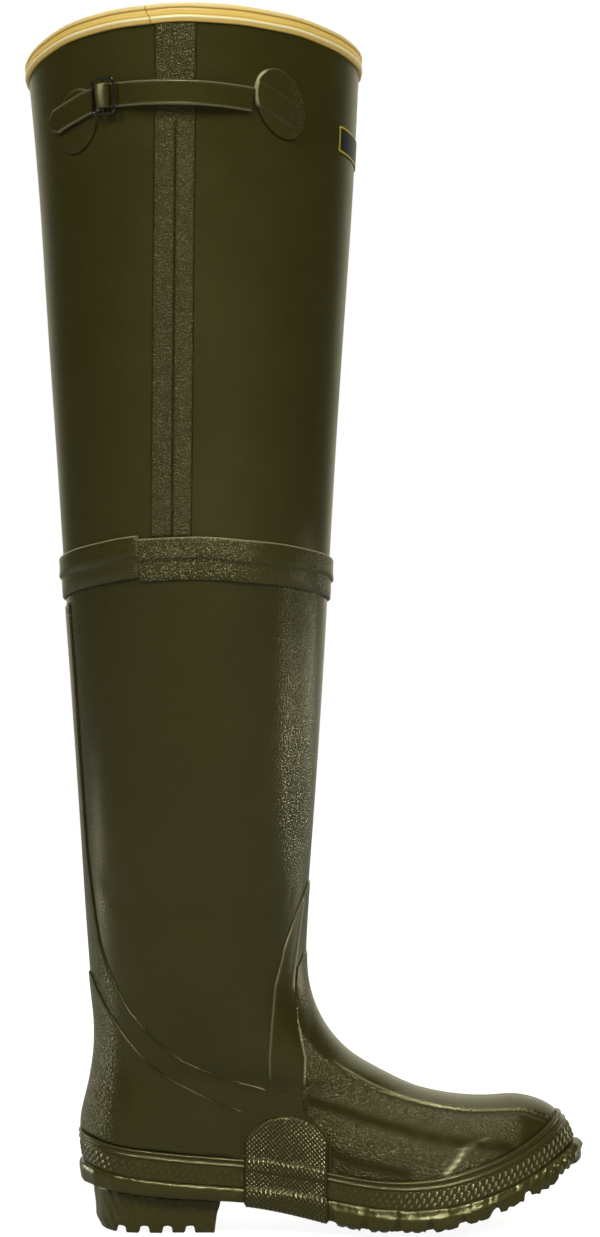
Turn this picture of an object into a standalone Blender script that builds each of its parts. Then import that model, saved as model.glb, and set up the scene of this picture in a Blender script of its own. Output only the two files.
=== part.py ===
"""Hip-length rubber boot for the right foot.

The boot stands on its sole, toe to +X, outer side to -Y. Sizes are in
millimetres, measured along the foot from the back of the heel and up from
the floor, and become metres where vertices are placed.
"""

import math

import bmesh
import bpy
import numpy as np

MM = 0.001
GAP = 0.35
COLUMNS = 36

# Walls and layers
UPPER_WALL = 2.5
THIGH_WALL = 1.6
FOXING_THICK = 2.4
BEAD_RISE = 0.7
OVERLAY_GAP = 0.45
ROW_SPACING = 0.3
QUARTER_THICK = 0.9
COUNTER_THICK = 0.9
GUSSET_THICK = 0.8
VAMP_THICK = 0.9
TAPE_THICK = 0.9
TAPE_HALF_WIDTH = 13.0
PATCH_THICK = 1.4
LABEL_THICK = 0.6
WRAP_GAP = 0.9
WRAP_THICK = 1.8
INSOLE_THICK = 3.0
INSOLE_INSET = UPPER_WALL + 0.7

# Heights on the leg, at its front and back
KNEE_HEIGHT = 419.0
KNEE_BAND_HALF = 13.0
RIM_HEIGHT = 756.0
BINDING_DEPTH = 10.0

# Sole
LIP_OUT = 4.2
LIP_BULGE = 5.0
LIP_LOW = 3.6
LIP_DROP = 4.5
TOE_LIP_OUT = 3.0
TOE_LIP_FROM = 290.0
LUG_OUT = 6.2
LUG_PITCH = 21.0
LUG_FIRST = 173.5
LUG_COUNT = 7
LUG_BASE = 20.2
LUG_TIP = 15.0
LUG_SWEEP = 3.5
LUG_CAMBER = 6.0
LUG_FLAT = 0.3
LUG_BEND = 0.65
LUG_CAMBER_FROM = 262.0
LUG_CAMBER_TO = 227.0
LUG_TOP_DROP = 5.5
HEEL_INSET = -4.2
HEEL_BREAST = 87.0
HEEL_BREAST_RAKE = 4.5
HEEL_STEP_HEIGHT = 7.0
HEEL_STEP_IN = 0.8
HEEL_STEP_BACK_IN = 1.4
HEEL_TREAD_IN = 1.8
HEEL_TREAD_BACK_IN = 5.0
HEEL_BACK_ROUND = 25.0
HEEL_NOTCHES = 4
HEEL_NOTCH_FIRST = 27.0
HEEL_NOTCH_PITCH = 14.8
HEEL_NOTCH_WIDTH = 6.0
HEEL_NOTCH_DEPTH = 4.5

# Belt strap and buckle, on the thigh; angles in degrees from the back, round the outer side
STRAP_WIDTH = 15.5
STRAP_THICK = 2.0
THIGH_RADIUS = 102.0
BUCKLE_ANGLE = 60.3
BUCKLE_HEIGHT = 706.0
BUCKLE_STANDOFF = 6.2
BUCKLE_HALF_LENGTH = 7.6
BUCKLE_HALF_WIDTH = 11.0
BUCKLE_CORNER = 2.6
BUCKLE_WIRE = 1.1
BAR_TURN = 2.9

# Route of the strap's middle: distance from the buckle's bar toward the front, height, stand-off
STRAP_TO_BUCKLE = (
    (90.6, 702.0, 1.6),
    (82.0, 702.2, 2.8),
    (66.0, 702.8, 5.2),
    (46.0, 703.5, 6.4),
    (28.0, 704.5, 5.6),
    (16.0, 705.3, 3.9),
    (10.5, 705.7, 2.6),
    (6.5, 706.0, 2.4),
    (4.2, 706.0, 3.4),
    (2.9, 706.0, 5.4),
)
STRAP_TAIL = (
    (-2.9, 706.0, 5.4),
    (-4.2, 706.0, 3.9),
    (-6.5, 705.5, 3.3),
    (-10.5, 705.0, 3.3),
    (-24.0, 702.5, 3.6),
    (-39.0, 700.0, 3.8),
    (-47.0, 698.6, 3.9),
)

# Anchor patches and label on the thigh: angle, height, half length, half height
LEG_SHEET_COLUMNS = "name angle height half_length half_height".split()
LEG_SHEETS = (
    ("strap_patch_front", 122.6, 703.0, 19.5, 20.5),
    ("strap_patch_rear", 45.5, 696.5, 19.0, 20.0),
    ("label", 170.5, 694.0, 31.0, 8.8),
)
PATCH_ROWS = 4
LABEL_ROWS = 2

# Edges of the overlays on the outer side: level on the last, place along the foot
QUARTER_EDGE = (
    (2.06, 103.5), (3.0, 104.5), (4.2, 109.0), (4.9, 115.0), (5.4, 120.5), (6.82, 121.3), (7.21, 103.5),
    (7.66, 87.5), (8.35, 68.2), (9.39, 49.4), (10.41, 33.2), (11.5, 21.3), (12.32, 13.9),
    (13.74, 5.4), (16.72, -6.2),
)
COUNTER_EDGE = (
    (2.06, 103.0), (3.0, 104.0), (4.9, 106.2), (5.75, 84.4), (6.96, 61.9),
    (8.08, 45.9), (9.19, 33.0), (10.41, 19.6), (11.5, 8.4),
)
GUSSET_EDGE = (
    (6.75, 121.9), (8.85, 121.3), (10.03, 122.7), (11.19, 124.9), (12.15, 130.8),
    (12.35, 133.0), (12.65, 136.8), (12.88, 139.7), (13.29, 146.5),
)
VAMP_EDGE = (
    (2.06, 162.5), (3.2, 162.0), (4.0, 160.0), (4.6, 153.5), (4.95, 149.0), (5.4, 144.5), (6.4, 143.0),
    (8.86, 143.6), (9.98, 139.6), (11.12, 137.9), (11.65, 138.6), (12.0, 142.5),
)

# Wrap under the arch: its middle along the foot, half length, height of its straight sides and top
WRAP_MIDDLE = 133.0
WRAP_HALF = 27.0
WRAP_SHOULDER = 55.5
WRAP_TOP = 76.0
WRAP_STATIONS = 9

# The last, one row a section. A section is a loop round the boot, from a point on its back to a
# point on its front. Sag is the share of the sole's curve that the loop follows, leg the share of
# the leg's oval in its plan, half_width that oval's, and arch the rise on the outer side.
SECTION_COLUMNS = "name back_x back_z front_x front_z sag leg half_width arch".split()
SECTIONS = (
    ("seat", 3.0, 44.8, 317.5, 55.8, 1.0, 0.0, 38.0, 0.0),
    ("foxing_middle", 1.6, 54.2, 314.2, 63.6, 1.0, 0.0, 38.0, 0.0),
    ("foxing_top", 1.0, 63.5, 308.2, 72.2, 1.0, 0.0, 39.0, 0.0),
    ("toe_crown", 1.4, 72.0, 297.0, 79.2, 0.84, 0.0, 40.0, 0.0),
    ("toe_top", 3.0, 80.0, 281.0, 82.8, 0.60, 0.0, 41.0, 0.0),
    ("vamp_dip", 4.9, 87.5, 264.0, 82.2, 0.32, 0.03, 42.0, 0.0),
    ("vamp", 6.6, 95.0, 241.0, 83.7, 0.12, 0.09, 43.0, 0.0),
    ("low_instep", 8.0, 103.0, 216.0, 89.3, 0.03, 0.20, 44.0, 0.0),
    ("instep", 9.3, 112.0, 193.0, 99.0, 0.0, 0.38, 48.5, 0.0),
    ("high_instep", 9.9, 123.0, 171.4, 113.4, 0.0, 0.60, 50.0, 0.0),
    ("ankle_bend", 9.4, 137.0, 155.2, 133.0, 0.0, 0.80, 51.5, 0.0),
    ("ankle", 7.4, 155.0, 146.7, 155.0, 0.0, 0.94, 53.5, 0.0),
    ("shin_low", 5.5, 178.0, 144.8, 178.0, 0.0, 1.0, 56.0, 0.0),
    ("shin", 3.1, 212.0, 146.6, 212.0, 0.0, 1.0, 60.0, 0.0),
    ("calf_low", 0.2, 258.0, 150.0, 258.0, 0.0, 1.0, 65.0, 1.0),
    ("calf", -3.4, 312.0, 153.8, 312.0, 0.0, 1.0, 70.0, 4.0),
    ("calf_high", -7.2, 366.0, 157.2, 366.0, 0.0, 1.0, 74.5, 8.0),
    ("knee", -11.0, 419.0, 160.2, 419.0, 0.0, 1.0, 79.5, 12.5),
    ("thigh_low", -16.3, 500.0, 164.8, 500.0, 0.0, 1.0, 85.5, 13.5),
    ("thigh", -21.8, 580.0, 170.0, 580.0, 0.0, 1.0, 91.5, 14.5),
    ("thigh_high", -27.4, 666.0, 175.8, 666.0, 0.0, 1.0, 97.0, 15.4),
    ("collar", -35.1, 757.6, 180.4, 757.6, 0.0, 1.0, 102.0, 17.6),
)
LEVEL = {row[0]: index for index, row in enumerate(SECTIONS)}
FOOT_ROWS = np.arange(0, LEVEL["ankle"], 0.75)
UPPER_ROWS = [*FOOT_ROWS, 11, 11.35, 11.65, *range(LEVEL["shin_low"], LEVEL["knee"])]

# Plan of the foot at the sole: place along the foot, half width, shift to the inner side
PLAN_COLUMNS = "x half_width centre".split()
PLAN = (
    (0.0, 36.0, 0.0),
    (35.0, 36.5, 0.0),
    (75.0, 35.0, -0.5),
    (125.0, 34.5, -2.0),
    (165.0, 40.0, -3.0),
    (200.0, 47.5, -3.0),
    (232.0, 52.0, -0.5),
    (262.0, 50.5, 3.0),
    (290.0, 46.0, 6.5),
    (317.5, 40.0, 9.0),
)
HEEL_ROUND = 40.0
TOE_ROUND = 85.0

# Dip of the collar at the back of the thigh, and how close to the back it stays
COLLAR_DROP = 8.0
COLLAR_DROP_POWER = 10

# Sole heights along the foot: seat of the upper, underside of the plate, line of the tread
SOLE_COLUMNS = "x seat under tread".split()
SOLE = (
    (3.0, 44.8, 30.4, 20.0),
    (22.0, 39.4, 27.6, 20.0),
    (49.0, 35.3, 24.4, 20.0),
    (75.0, 32.8, 22.4, 20.0),
    (103.0, 30.8, 21.0, 18.0),
    (135.0, 27.6, 16.0, 12.0),
    (161.0, 24.2, 10.2, 4.6),
    (185.0, 20.6, 5.6, 0.0),
    (205.0, 19.0, 5.0, 0.0),
    (228.0, 20.0, 6.0, 0.0),
    (245.0, 22.8, 10.6, 6.0),
    (265.0, 28.4, 18.2, 14.0),
    (281.0, 34.2, 24.6, 20.4),
    (297.0, 42.0, 31.4, 27.4),
    (310.0, 50.2, 37.4, 33.0),
    (317.5, 55.8, 41.4, 36.8),
)

OLIVE = (0.035, 0.033, 0.016)
OLIVE_SOLE = (0.028, 0.026, 0.014)
YELLOW = (0.68, 0.40, 0.06)
BLACK_METAL = (0.03, 0.03, 0.028)
NAVY = (0.02, 0.025, 0.045)
INSOLE_GREY = (0.05, 0.045, 0.035)


def spline(stations, values):
    """A smooth cubic curve through the points of a table."""
    x = np.array(stations, float)
    y = np.array(values, float)
    step = np.diff(x)
    slope = np.diff(y) / step
    system = np.eye(len(x))
    bend = np.zeros(len(x))
    for i in range(1, len(x) - 1):
        system[i, i - 1 : i + 2] = step[i - 1], 2 * (step[i - 1] + step[i]), step[i]
        bend[i] = 6 * (slope[i] - slope[i - 1])
    bend = np.linalg.solve(system, bend)

    def at(place):
        place = np.clip(place, x[0], x[-1])
        i = np.clip(np.searchsorted(x, place) - 1, 0, len(step) - 1)
        before = (x[i + 1] - place) / step[i]
        after = (place - x[i]) / step[i]
        curve = (before**3 - before) * bend[i] + (after**3 - after) * bend[i + 1]
        return before * y[i] + after * y[i + 1] + curve * step[i] ** 2 / 6

    return at


def table_curves(names, rows, stations):
    """One curve for each named column of a table."""
    return {name: spline(stations, [row[names.index(name)] for row in rows]) for name in names[1:]}


section = table_curves(SECTION_COLUMNS, SECTIONS, range(len(SECTIONS)))
plan = table_curves(PLAN_COLUMNS, PLAN, [row[0] for row in PLAN])
sole = table_curves(SOLE_COLUMNS, SOLE, [row[0] for row in SOLE])

HEEL_X, HEEL_Z = SECTIONS[0][1], SECTIONS[0][2]
TOE_X, TOE_Z = SECTIONS[0][3], SECTIONS[0][4]
RIDGE_LEVELS = np.linspace(LEVEL["ankle"], 0, 1200)
RIDGE_X = section["front_x"](RIDGE_LEVELS)
RIDGE_Z = section["front_z"](RIDGE_LEVELS)
SHIN_STEEPNESS = 8.0


def ridge_height(x):
    """Height of the boot's front line over a place along the foot."""
    behind = np.clip(RIDGE_X[0] - x, 0, None)
    return np.interp(x, RIDGE_X, RIDGE_Z) + behind * SHIN_STEEPNESS


def rounded_end(distance, length, power):
    """Half-width factor that rounds an end of the plan off."""
    inward = np.clip(1 - distance / length, 0, 1)
    return np.sqrt(1 - inward**power)


def foot_half_width(x, z, back_x):
    """Half width of the foot at a place and height."""
    toward_ball = np.clip(x / 120, 0, 1)
    toward_ball = toward_ball**2 * (3 - 2 * toward_ball)
    from_heel = (x - back_x) * (1 - toward_ball) + x * toward_ball
    seat = sole["seat"](x)
    rise = np.clip((z - seat) / np.maximum(ridge_height(x) - seat, 0.6), 0, 1)
    ends = rounded_end(from_heel, HEEL_ROUND, 2.2) * rounded_end(TOE_X - x, TOE_ROUND, 2.4)
    return plan["half_width"](x) * ends * np.sqrt(1 - rise**2.5)


def form(angle, level):
    """Points of the boot's outer form. The angle runs from the back round the outer side."""
    angle, level = np.broadcast_arrays(np.asarray(angle, float), np.asarray(level, float))
    along = (1 - np.cos(angle)) / 2
    side = np.sin(angle)
    back_x = section["back_x"](level)
    back_z = section["back_z"](level)
    x = back_x + along * (section["front_x"](level) - back_x)
    seat_x = HEEL_X + along * (TOE_X - HEEL_X)
    dip = sole["seat"](seat_x) - HEEL_Z - along * (TOE_Z - HEEL_Z)
    z = back_z + along * (section["front_z"](level) - back_z) + section["sag"](level) * dip
    leg = np.clip(section["leg"](level), 0, 1)
    foot = foot_half_width(x, z, back_x) * np.sign(np.round(side, 9))
    half = leg * section["half_width"](level) * side + (1 - leg) * foot
    y = (1 - leg) * plan["centre"](x) - half
    arch = section["arch"](level) * (0.65 * side + 0.35 * side**2)
    toward_rim = np.clip(level - LEVEL["thigh_high"], 0, 1) ** 2
    drop = COLLAR_DROP * toward_rim * (1 - along) ** COLLAR_DROP_POWER
    return np.stack([x, y, z + arch - drop], axis=-1)


def normal(angle, level):
    """Outward direction of the form; it is level at the seat, where pieces stand on the sole."""
    step = 1e-3
    round_boot = form(angle + step, level) - form(angle - step, level)
    up_boot = form(angle, level + step) - form(angle, level - step)
    out = np.cross(round_boot, up_boot)
    out[..., 2] *= np.clip(level, 0, 1)
    return out / np.linalg.norm(out, axis=-1, keepdims=True)


def skin(angle, level, offset=0.0):
    """Points at a distance from the form."""
    angle = np.asarray(angle, float)
    level = np.asarray(level, float)
    return form(angle, level) + normal(angle, level) * np.asarray(offset, float)[..., None]


LEG_LEVELS = np.linspace(LEVEL["ankle"], LEVEL["collar"], 2000)
LEG_HEIGHTS = section["back_z"](LEG_LEVELS)


def leg_level(height):
    """Level of a height on the leg's front and back."""
    return np.interp(height, LEG_HEIGHTS, LEG_LEVELS)


def angle_at(x, level):
    """Angle at which a loop passes a place along the foot."""
    back_x = section["back_x"](level)
    along = (x - back_x) / (section["front_x"](level) - back_x)
    return np.arccos(np.clip(1 - 2 * along, -1, 1))


def rubber(name, colour, roughness=0.45, metallic=0.0):
    """A plain material."""
    material = bpy.data.materials.get(name) or bpy.data.materials.new(name)
    material.use_nodes = True
    shader = material.node_tree.nodes["Principled BSDF"]
    shader.inputs["Base Color"].default_value = (*colour, 1)
    shader.inputs["Roughness"].default_value = roughness
    shader.inputs["Metallic"].default_value = metallic
    return material


def mapped_grid(name, columns, rows, place, material, closed=True):
    """A grid whose squares are laid on a surface by place(a, b), with a and b from 0 to 1."""
    mesh = bmesh.new()
    bmesh.ops.create_grid(mesh, x_segments=columns, y_segments=rows, size=0.5)
    squares = np.array([vertex.co for vertex in mesh.verts]) + 0.5
    points = place(squares[:, 0], squares[:, 1])
    for vertex, point in zip(mesh.verts, points):
        vertex.co = point * MM
    bmesh.ops.remove_doubles(mesh, verts=mesh.verts, dist=1e-6)
    bmesh.ops.dissolve_degenerate(mesh, edges=mesh.edges, dist=1e-7)
    if closed:
        rims = [edge for edge in mesh.edges if edge.is_boundary]
        bmesh.ops.holes_fill(mesh, edges=rims, sides=0)
        bmesh.ops.triangulate(mesh, faces=[face for face in mesh.faces if len(face.verts) > 4])
        bmesh.ops.recalc_face_normals(mesh, faces=mesh.faces)
    return add_object(name, mesh, material)


def add_object(name, mesh, material):
    """Turn a bmesh into an object of the boot."""
    data = bpy.data.meshes.new(name)
    mesh.to_mesh(data)
    mesh.free()
    data.materials.append(material)
    data.shade_smooth()
    data.set_sharp_from_angle(angle=math.radians(35))
    piece = bpy.data.objects.new(name, data)
    pieces.objects.link(piece)
    piece.parent = boot_frame
    return piece


def solidify(piece, thickness):
    """Give an open sheet its thickness, outward."""
    wall = piece.modifiers.new("thickness", "SOLIDIFY")
    wall.thickness = thickness * MM
    wall.offset = 1


def hide_operand(piece):
    """Keep a helper shape out of the finished boot."""
    pieces.objects.unlink(piece)
    cutters.objects.link(piece)
    piece.hide_render = True
    piece.display_type = "WIRE"


def combine(piece, other, operation):
    """Cut or join a piece with a helper shape."""
    step = piece.modifiers.new(other.name, "BOOLEAN")
    step.object = other
    step.operation = operation
    step.solver = "EXACT"
    hide_operand(other)


def ring(name, profile, material):
    """A closed ring round the boot. Its profile holds (level, offset) corners."""
    levels = np.array([corner[0] for corner in profile] + [profile[0][0]])
    offsets = np.array([corner[1] for corner in profile] + [profile[0][1]])

    def place(a, b):
        corner = np.round(b * len(profile)).astype(int)
        return skin(2 * np.pi * a, levels[corner], offsets[corner])

    return mapped_grid(name, COLUMNS, len(profile), place, material)


def tube_profile(outer_levels, inner_levels, wall):
    """Profile of a hollow wall, outer side up and inner side down."""
    return [(level, 0.0) for level in outer_levels] + [(level, -wall) for level in reversed(inner_levels)]


def make_upper():
    """Foot, ankle and calf in one hollow solid, open at the knee and under the foot."""
    top = leg_level(KNEE_HEIGHT - GAP / 2)
    outer = [*UPPER_ROWS, top]
    inner = [0, 1, 2, 3.5, 5, 6.5, 8, 9.5, LEVEL["ankle"], LEVEL["shin"], top]
    return ring("upper", tube_profile(outer, inner, UPPER_WALL), olive)


def make_thigh_shaft():
    """Light tube above the knee."""
    levels = leg_level(np.array([KNEE_HEIGHT + GAP / 2, 500, 580, 666, 712, RIM_HEIGHT]))
    inner = [levels[0], levels[2], levels[5]]
    return ring("thigh_shaft", tube_profile(levels, inner, THIGH_WALL), olive)


def leg_profile(rows):
    """Profile on the leg from (height, offset) corners."""
    return [(float(leg_level(height)), offset) for height, offset in rows]


def make_knee_band():
    """Two-step tape over the joint of thigh and boot; its upper half laps the lower."""
    low = KNEE_HEIGHT - KNEE_BAND_HALF
    high = KNEE_HEIGHT + KNEE_BAND_HALF
    rows = (
        (low, GAP), (low, 1.7), (KNEE_HEIGHT - 0.5, 1.9), (KNEE_HEIGHT + 0.7, 3.1),
        (high - 1.5, 3.1), (high, 2.2), (high, GAP),
    )
    return ring("knee_band", leg_profile(rows), olive)


def make_collar_binding():
    """Yellow binding folded over the rim."""
    low = RIM_HEIGHT - BINDING_DEPTH
    inside = -THIGH_WALL - GAP
    rows = (
        (low, GAP), (low, 1.8), (RIM_HEIGHT + 0.7, 1.6), (RIM_HEIGHT + 1.6, 0.2),
        (RIM_HEIGHT + 1.6, inside + 0.2), (RIM_HEIGHT + 0.6, inside - 1.2), (low + 1, inside - 1.2),
        (low + 1, inside), (RIM_HEIGHT + GAP, inside), (RIM_HEIGHT + GAP, GAP),
    )
    return ring("collar_binding", leg_profile(rows), yellow)


def make_foxing():
    """Band round the foot with a double bead on its upper edge; it stands on the sole's lip."""
    thick = FOXING_THICK
    bead = FOXING_THICK + BEAD_RISE
    profile = (
        (0, GAP), (0, thick), (1.5, thick), (1.6, bead), (1.74, bead),
        (1.79, thick), (1.84, bead), (1.95, bead), (2.0, thick), (2.0, GAP), (1.5, GAP), (0.75, GAP),
    )
    return ring("foxing", profile, olive)


def crosswise(name, angles, rows, material):
    """A solid from sections across the foot. Rows hold (offset, height) corners of the outer side,
    from the top down. The height is worked out from the seat's place beside the corner and from
    the corner's own place along the foot."""
    corners = [*((1, *row) for row in rows), *((-1, *row) for row in reversed(rows))]

    def place(a, b):
        angle = np.interp(a, np.linspace(0, 1, len(angles)), angles)
        corner = np.round(b * len(corners)).astype(int) % len(corners)
        points = np.zeros((len(a), 3))
        for index, (side, offset, height) in enumerate(corners):
            chosen = corner == index
            seat_x = form(angle[chosen], 0.0)[:, 0]
            outward = offset(seat_x) if callable(offset) else np.full(len(seat_x), offset)
            points[chosen] = skin(side * angle[chosen], np.zeros(len(seat_x)), outward)
            points[chosen, 2] = height(seat_x, points[chosen, 0])
        return points

    return mapped_grid(name, len(angles) - 1, len(corners), place, material)


def sole_angles(first_x, last_x, count):
    """Angles of evenly turned stations between two places along the sole."""
    return np.linspace(angle_at(first_x, 0.0), angle_at(last_x, 0.0), count)


def make_tread_bars():
    """Cleats across the forefoot, swept forward in the middle, rounded at the ball and wrapped up
    the side."""
    turn = np.linspace(0, np.pi, 400)
    outer = skin(turn, np.zeros(len(turn)), np.full(len(turn), LUG_OUT))
    inner = skin(-turn, np.zeros(len(turn)), np.full(len(turn), LUG_OUT))
    toe_limit = outer[-1, 0] - 0.6
    spans = (-1.0, -LUG_BEND, -LUG_FLAT, LUG_FLAT, LUG_BEND, 1.0)
    bars = bmesh.new()

    def bar_point(middle_x, span, shift, top):
        x = min(middle_x + LUG_SWEEP * (0.5 - abs(span)) + shift, toe_limit)
        low_y = np.interp(x, outer[:, 0], outer[:, 1])
        high_y = np.interp(x, inner[:, 0], inner[:, 1])
        y = (low_y + high_y) / 2 + span * (high_y - low_y) / 2
        if top:
            return np.array([x, y, sole["seat"](x) - LUG_TOP_DROP])
        camber = LUG_CAMBER * np.interp(x, [LUG_CAMBER_TO, LUG_CAMBER_FROM], [1, 0])
        beside_flat = (abs(span) - LUG_FLAT) / (1 - LUG_FLAT)
        return np.array([x, y, max(sole["tread"](x), 0.0) + camber * beside_flat**2])

    for index in range(LUG_COUNT):
        middle_x = LUG_FIRST + index * LUG_PITCH
        rings = []
        for span in spans:
            corners = ((-LUG_TIP, False), (LUG_TIP, False), (LUG_BASE, True), (-LUG_BASE, True))
            rings.append([
                bars.verts.new(bar_point(middle_x, span, shift / 2, top) * MM) for shift, top in corners
            ])
        for near, far in zip(rings, rings[1:]):
            for corner in range(4):
                after = (corner + 1) % 4
                bars.faces.new((near[corner], near[after], far[after], far[corner]))
        bars.faces.new(rings[0])
        bars.faces.new(rings[-1])
    bmesh.ops.triangulate(bars, faces=bars.faces)
    bmesh.ops.recalc_face_normals(bars, faces=bars.faces)
    return add_object("tread_bars", bars, sole_rubber)


def make_outsole():
    """Plate with a bulging lip, arch and toe spring, and the cleats of the forefoot."""

    def bulge(x):
        return LIP_BULGE + TOE_LIP_OUT * np.clip((x - TOE_LIP_FROM) / (TOE_X - TOE_LIP_FROM), 0, 1)

    rows = (
        (-INSOLE_INSET, lambda seat_x, x: sole["seat"](seat_x) - GAP),
        (LIP_OUT, lambda seat_x, x: sole["seat"](seat_x) - GAP),
        (bulge, lambda seat_x, x: sole["seat"](seat_x) - LIP_DROP),
        (LIP_LOW, lambda seat_x, x: sole["under"](x)),
    )
    outsole = crosswise("outsole", np.linspace(0, np.pi, COLUMNS // 2 + 1), rows, sole_rubber)
    combine(outsole, make_tread_bars(), "UNION")
    return outsole


def make_heel():
    """Heel block with cross notches in its tread."""

    def undercut(inset, back_inset):
        return lambda x: HEEL_INSET - inset - back_inset * np.clip(1 - x / HEEL_BACK_ROUND, 0, 1)

    rows = (
        (HEEL_INSET, lambda seat_x, x: sole["under"](x) - 1.4 * GAP),
        (undercut(HEEL_STEP_IN, HEEL_STEP_BACK_IN), lambda seat_x, x: HEEL_STEP_HEIGHT),
        (undercut(HEEL_TREAD_IN, HEEL_TREAD_BACK_IN), lambda seat_x, x: 0.0),
    )
    heel = crosswise("heel", sole_angles(HEEL_X, HEEL_BREAST, 9), rows, sole_rubber)
    for vertex in heel.data.vertices:
        if vertex.co.x > (HEEL_BREAST - 2) * MM and vertex.co.z > 2 * HEEL_STEP_HEIGHT * MM:
            vertex.co.x += HEEL_BREAST_RAKE * MM
    notches = bmesh.new()
    for index in range(HEEL_NOTCHES):
        notch = bmesh.ops.create_cube(notches, size=1)["verts"]
        size = (HEEL_NOTCH_WIDTH * MM, 0.12, 2 * HEEL_NOTCH_DEPTH * MM)
        bmesh.ops.scale(notches, vec=size, verts=notch)
        place = ((HEEL_NOTCH_FIRST + index * HEEL_NOTCH_PITCH) * MM, 0, 0)
        bmesh.ops.translate(notches, vec=place, verts=notch)
    combine(heel, add_object("heel_notches", notches, sole_rubber), "DIFFERENCE")
    return heel


def make_insole():
    """Plain sheet on the sole, inside the upper."""
    rows = (
        (-INSOLE_INSET - 2.5, lambda seat_x, x: sole["seat"](seat_x) + INSOLE_THICK),
        (-INSOLE_INSET, lambda seat_x, x: sole["seat"](seat_x) + 0.1),
    )
    return crosswise("insole", np.linspace(0, np.pi, COLUMNS // 2 + 1), rows, insole_felt)


def make_overlay(name, edge_rows, centre, offset, thickness, own_from=0):
    """A sheet on the upper, the same on both sides. Edge rows hold (level, x): how far it reaches
    from the middle of the back, centre 0, or of the front, centre pi. It shares the upper's columns
    and rows. From own_from up it has rows of its own where its edge turns; the hollow of the instep
    has none."""
    edge_levels = [row[0] for row in edge_rows]
    shared = [level for level in UPPER_ROWS if edge_levels[0] < level < edge_levels[-1]]
    ends = [edge_levels[0], edge_levels[-1]]
    own = [
        level
        for level in edge_levels[1:-1]
        if level >= own_from and min(abs(level - row) for row in shared) > ROW_SPACING
    ]
    levels = np.array(sorted([*shared, *ends, *own]))
    reach = np.interp(levels, edge_levels, [row[1] for row in edge_rows])
    limits = np.abs(angle_at(reach, levels) - centre)
    spacing = 2 * np.pi / COLUMNS
    half = math.ceil(limits.max() / spacing)
    offsets = offset(levels) if callable(offset) else np.full(len(levels), offset)

    def place(a, b):
        row = np.round(b * (len(levels) - 1)).astype(int)
        turn = np.clip((2 * a - 1) * half * spacing, -limits[row], limits[row])
        return skin(centre + turn, levels[row], offsets[row])

    sheet = mapped_grid(name, 2 * half, len(levels) - 1, place, olive, closed=False)
    solidify(sheet, thickness)
    return sheet


def make_overlays():
    """Heel quarter with its backstay, heel counter on it, shin gusset, and vamp over the gusset."""
    counter_seat = OVERLAY_GAP + QUARTER_THICK + 1.7 * OVERLAY_GAP
    gusset_top = OVERLAY_GAP + GUSSET_THICK + OVERLAY_GAP
    make_overlay("heel_quarter", QUARTER_EDGE, 0, OVERLAY_GAP, QUARTER_THICK)
    make_overlay("heel_counter", COUNTER_EDGE, 0, counter_seat, COUNTER_THICK)
    make_overlay("shin_gusset", GUSSET_EDGE, np.pi, OVERLAY_GAP, GUSSET_THICK, LEVEL["shin_low"])

    def vamp_seat(level):
        return np.interp(level, [5.4, 6.4], [1.4 * OVERLAY_GAP, gusset_top])

    make_overlay("vamp_overlay", VAMP_EDGE, np.pi, vamp_seat, VAMP_THICK, LEVEL["shin_low"])


def make_side_tape():
    """Tape over the seam on the outer side of the thigh."""
    low = KNEE_HEIGHT + KNEE_BAND_HALF + GAP
    high = RIM_HEIGHT - BINDING_DEPTH - GAP
    heights = np.array([low, 500, 580, 666, 712, high])

    def place(a, b):
        height = heights[np.round(b * (len(heights) - 1)).astype(int)]
        level = leg_level(height)
        middle = np.interp(height, [low, high], [61.0, 64.8])
        angle = angle_at(middle + (2 * a - 1) * TAPE_HALF_WIDTH, level)
        return skin(angle, level, np.full(len(a), GAP))

    tape = mapped_grid("side_tape", 4, len(heights) - 1, place, olive, closed=False)
    solidify(tape, TAPE_THICK)
    return tape


def make_leg_sheets():
    """Oval anchor patches of the strap, and the blank label on the front of the thigh."""
    for name, angle, height, half_length, half_height in LEG_SHEETS:
        oval = name != "label"

        def place(a, b):
            across = 2 * a - 1
            up = 2 * b - 1
            if oval:
                across, up = across * np.sqrt(1 - up**2 / 2), up * np.sqrt(1 - across**2 / 2)
            turn = np.radians(angle) + across * half_length / THIGH_RADIUS
            return skin(turn, leg_level(height + up * half_height), np.full(len(a), GAP))

        rows = PATCH_ROWS if oval else LABEL_ROWS
        sheet = mapped_grid(name, PATCH_ROWS, rows, place, olive if oval else navy, closed=False)
        solidify(sheet, PATCH_THICK if oval else LABEL_THICK)


def strap_point(along, height, standoff):
    """A point over the thigh, by its distance from the buckle's bar."""
    return skin(np.radians(BUCKLE_ANGLE) + along / THIGH_RADIUS, leg_level(height), standoff)


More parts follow.
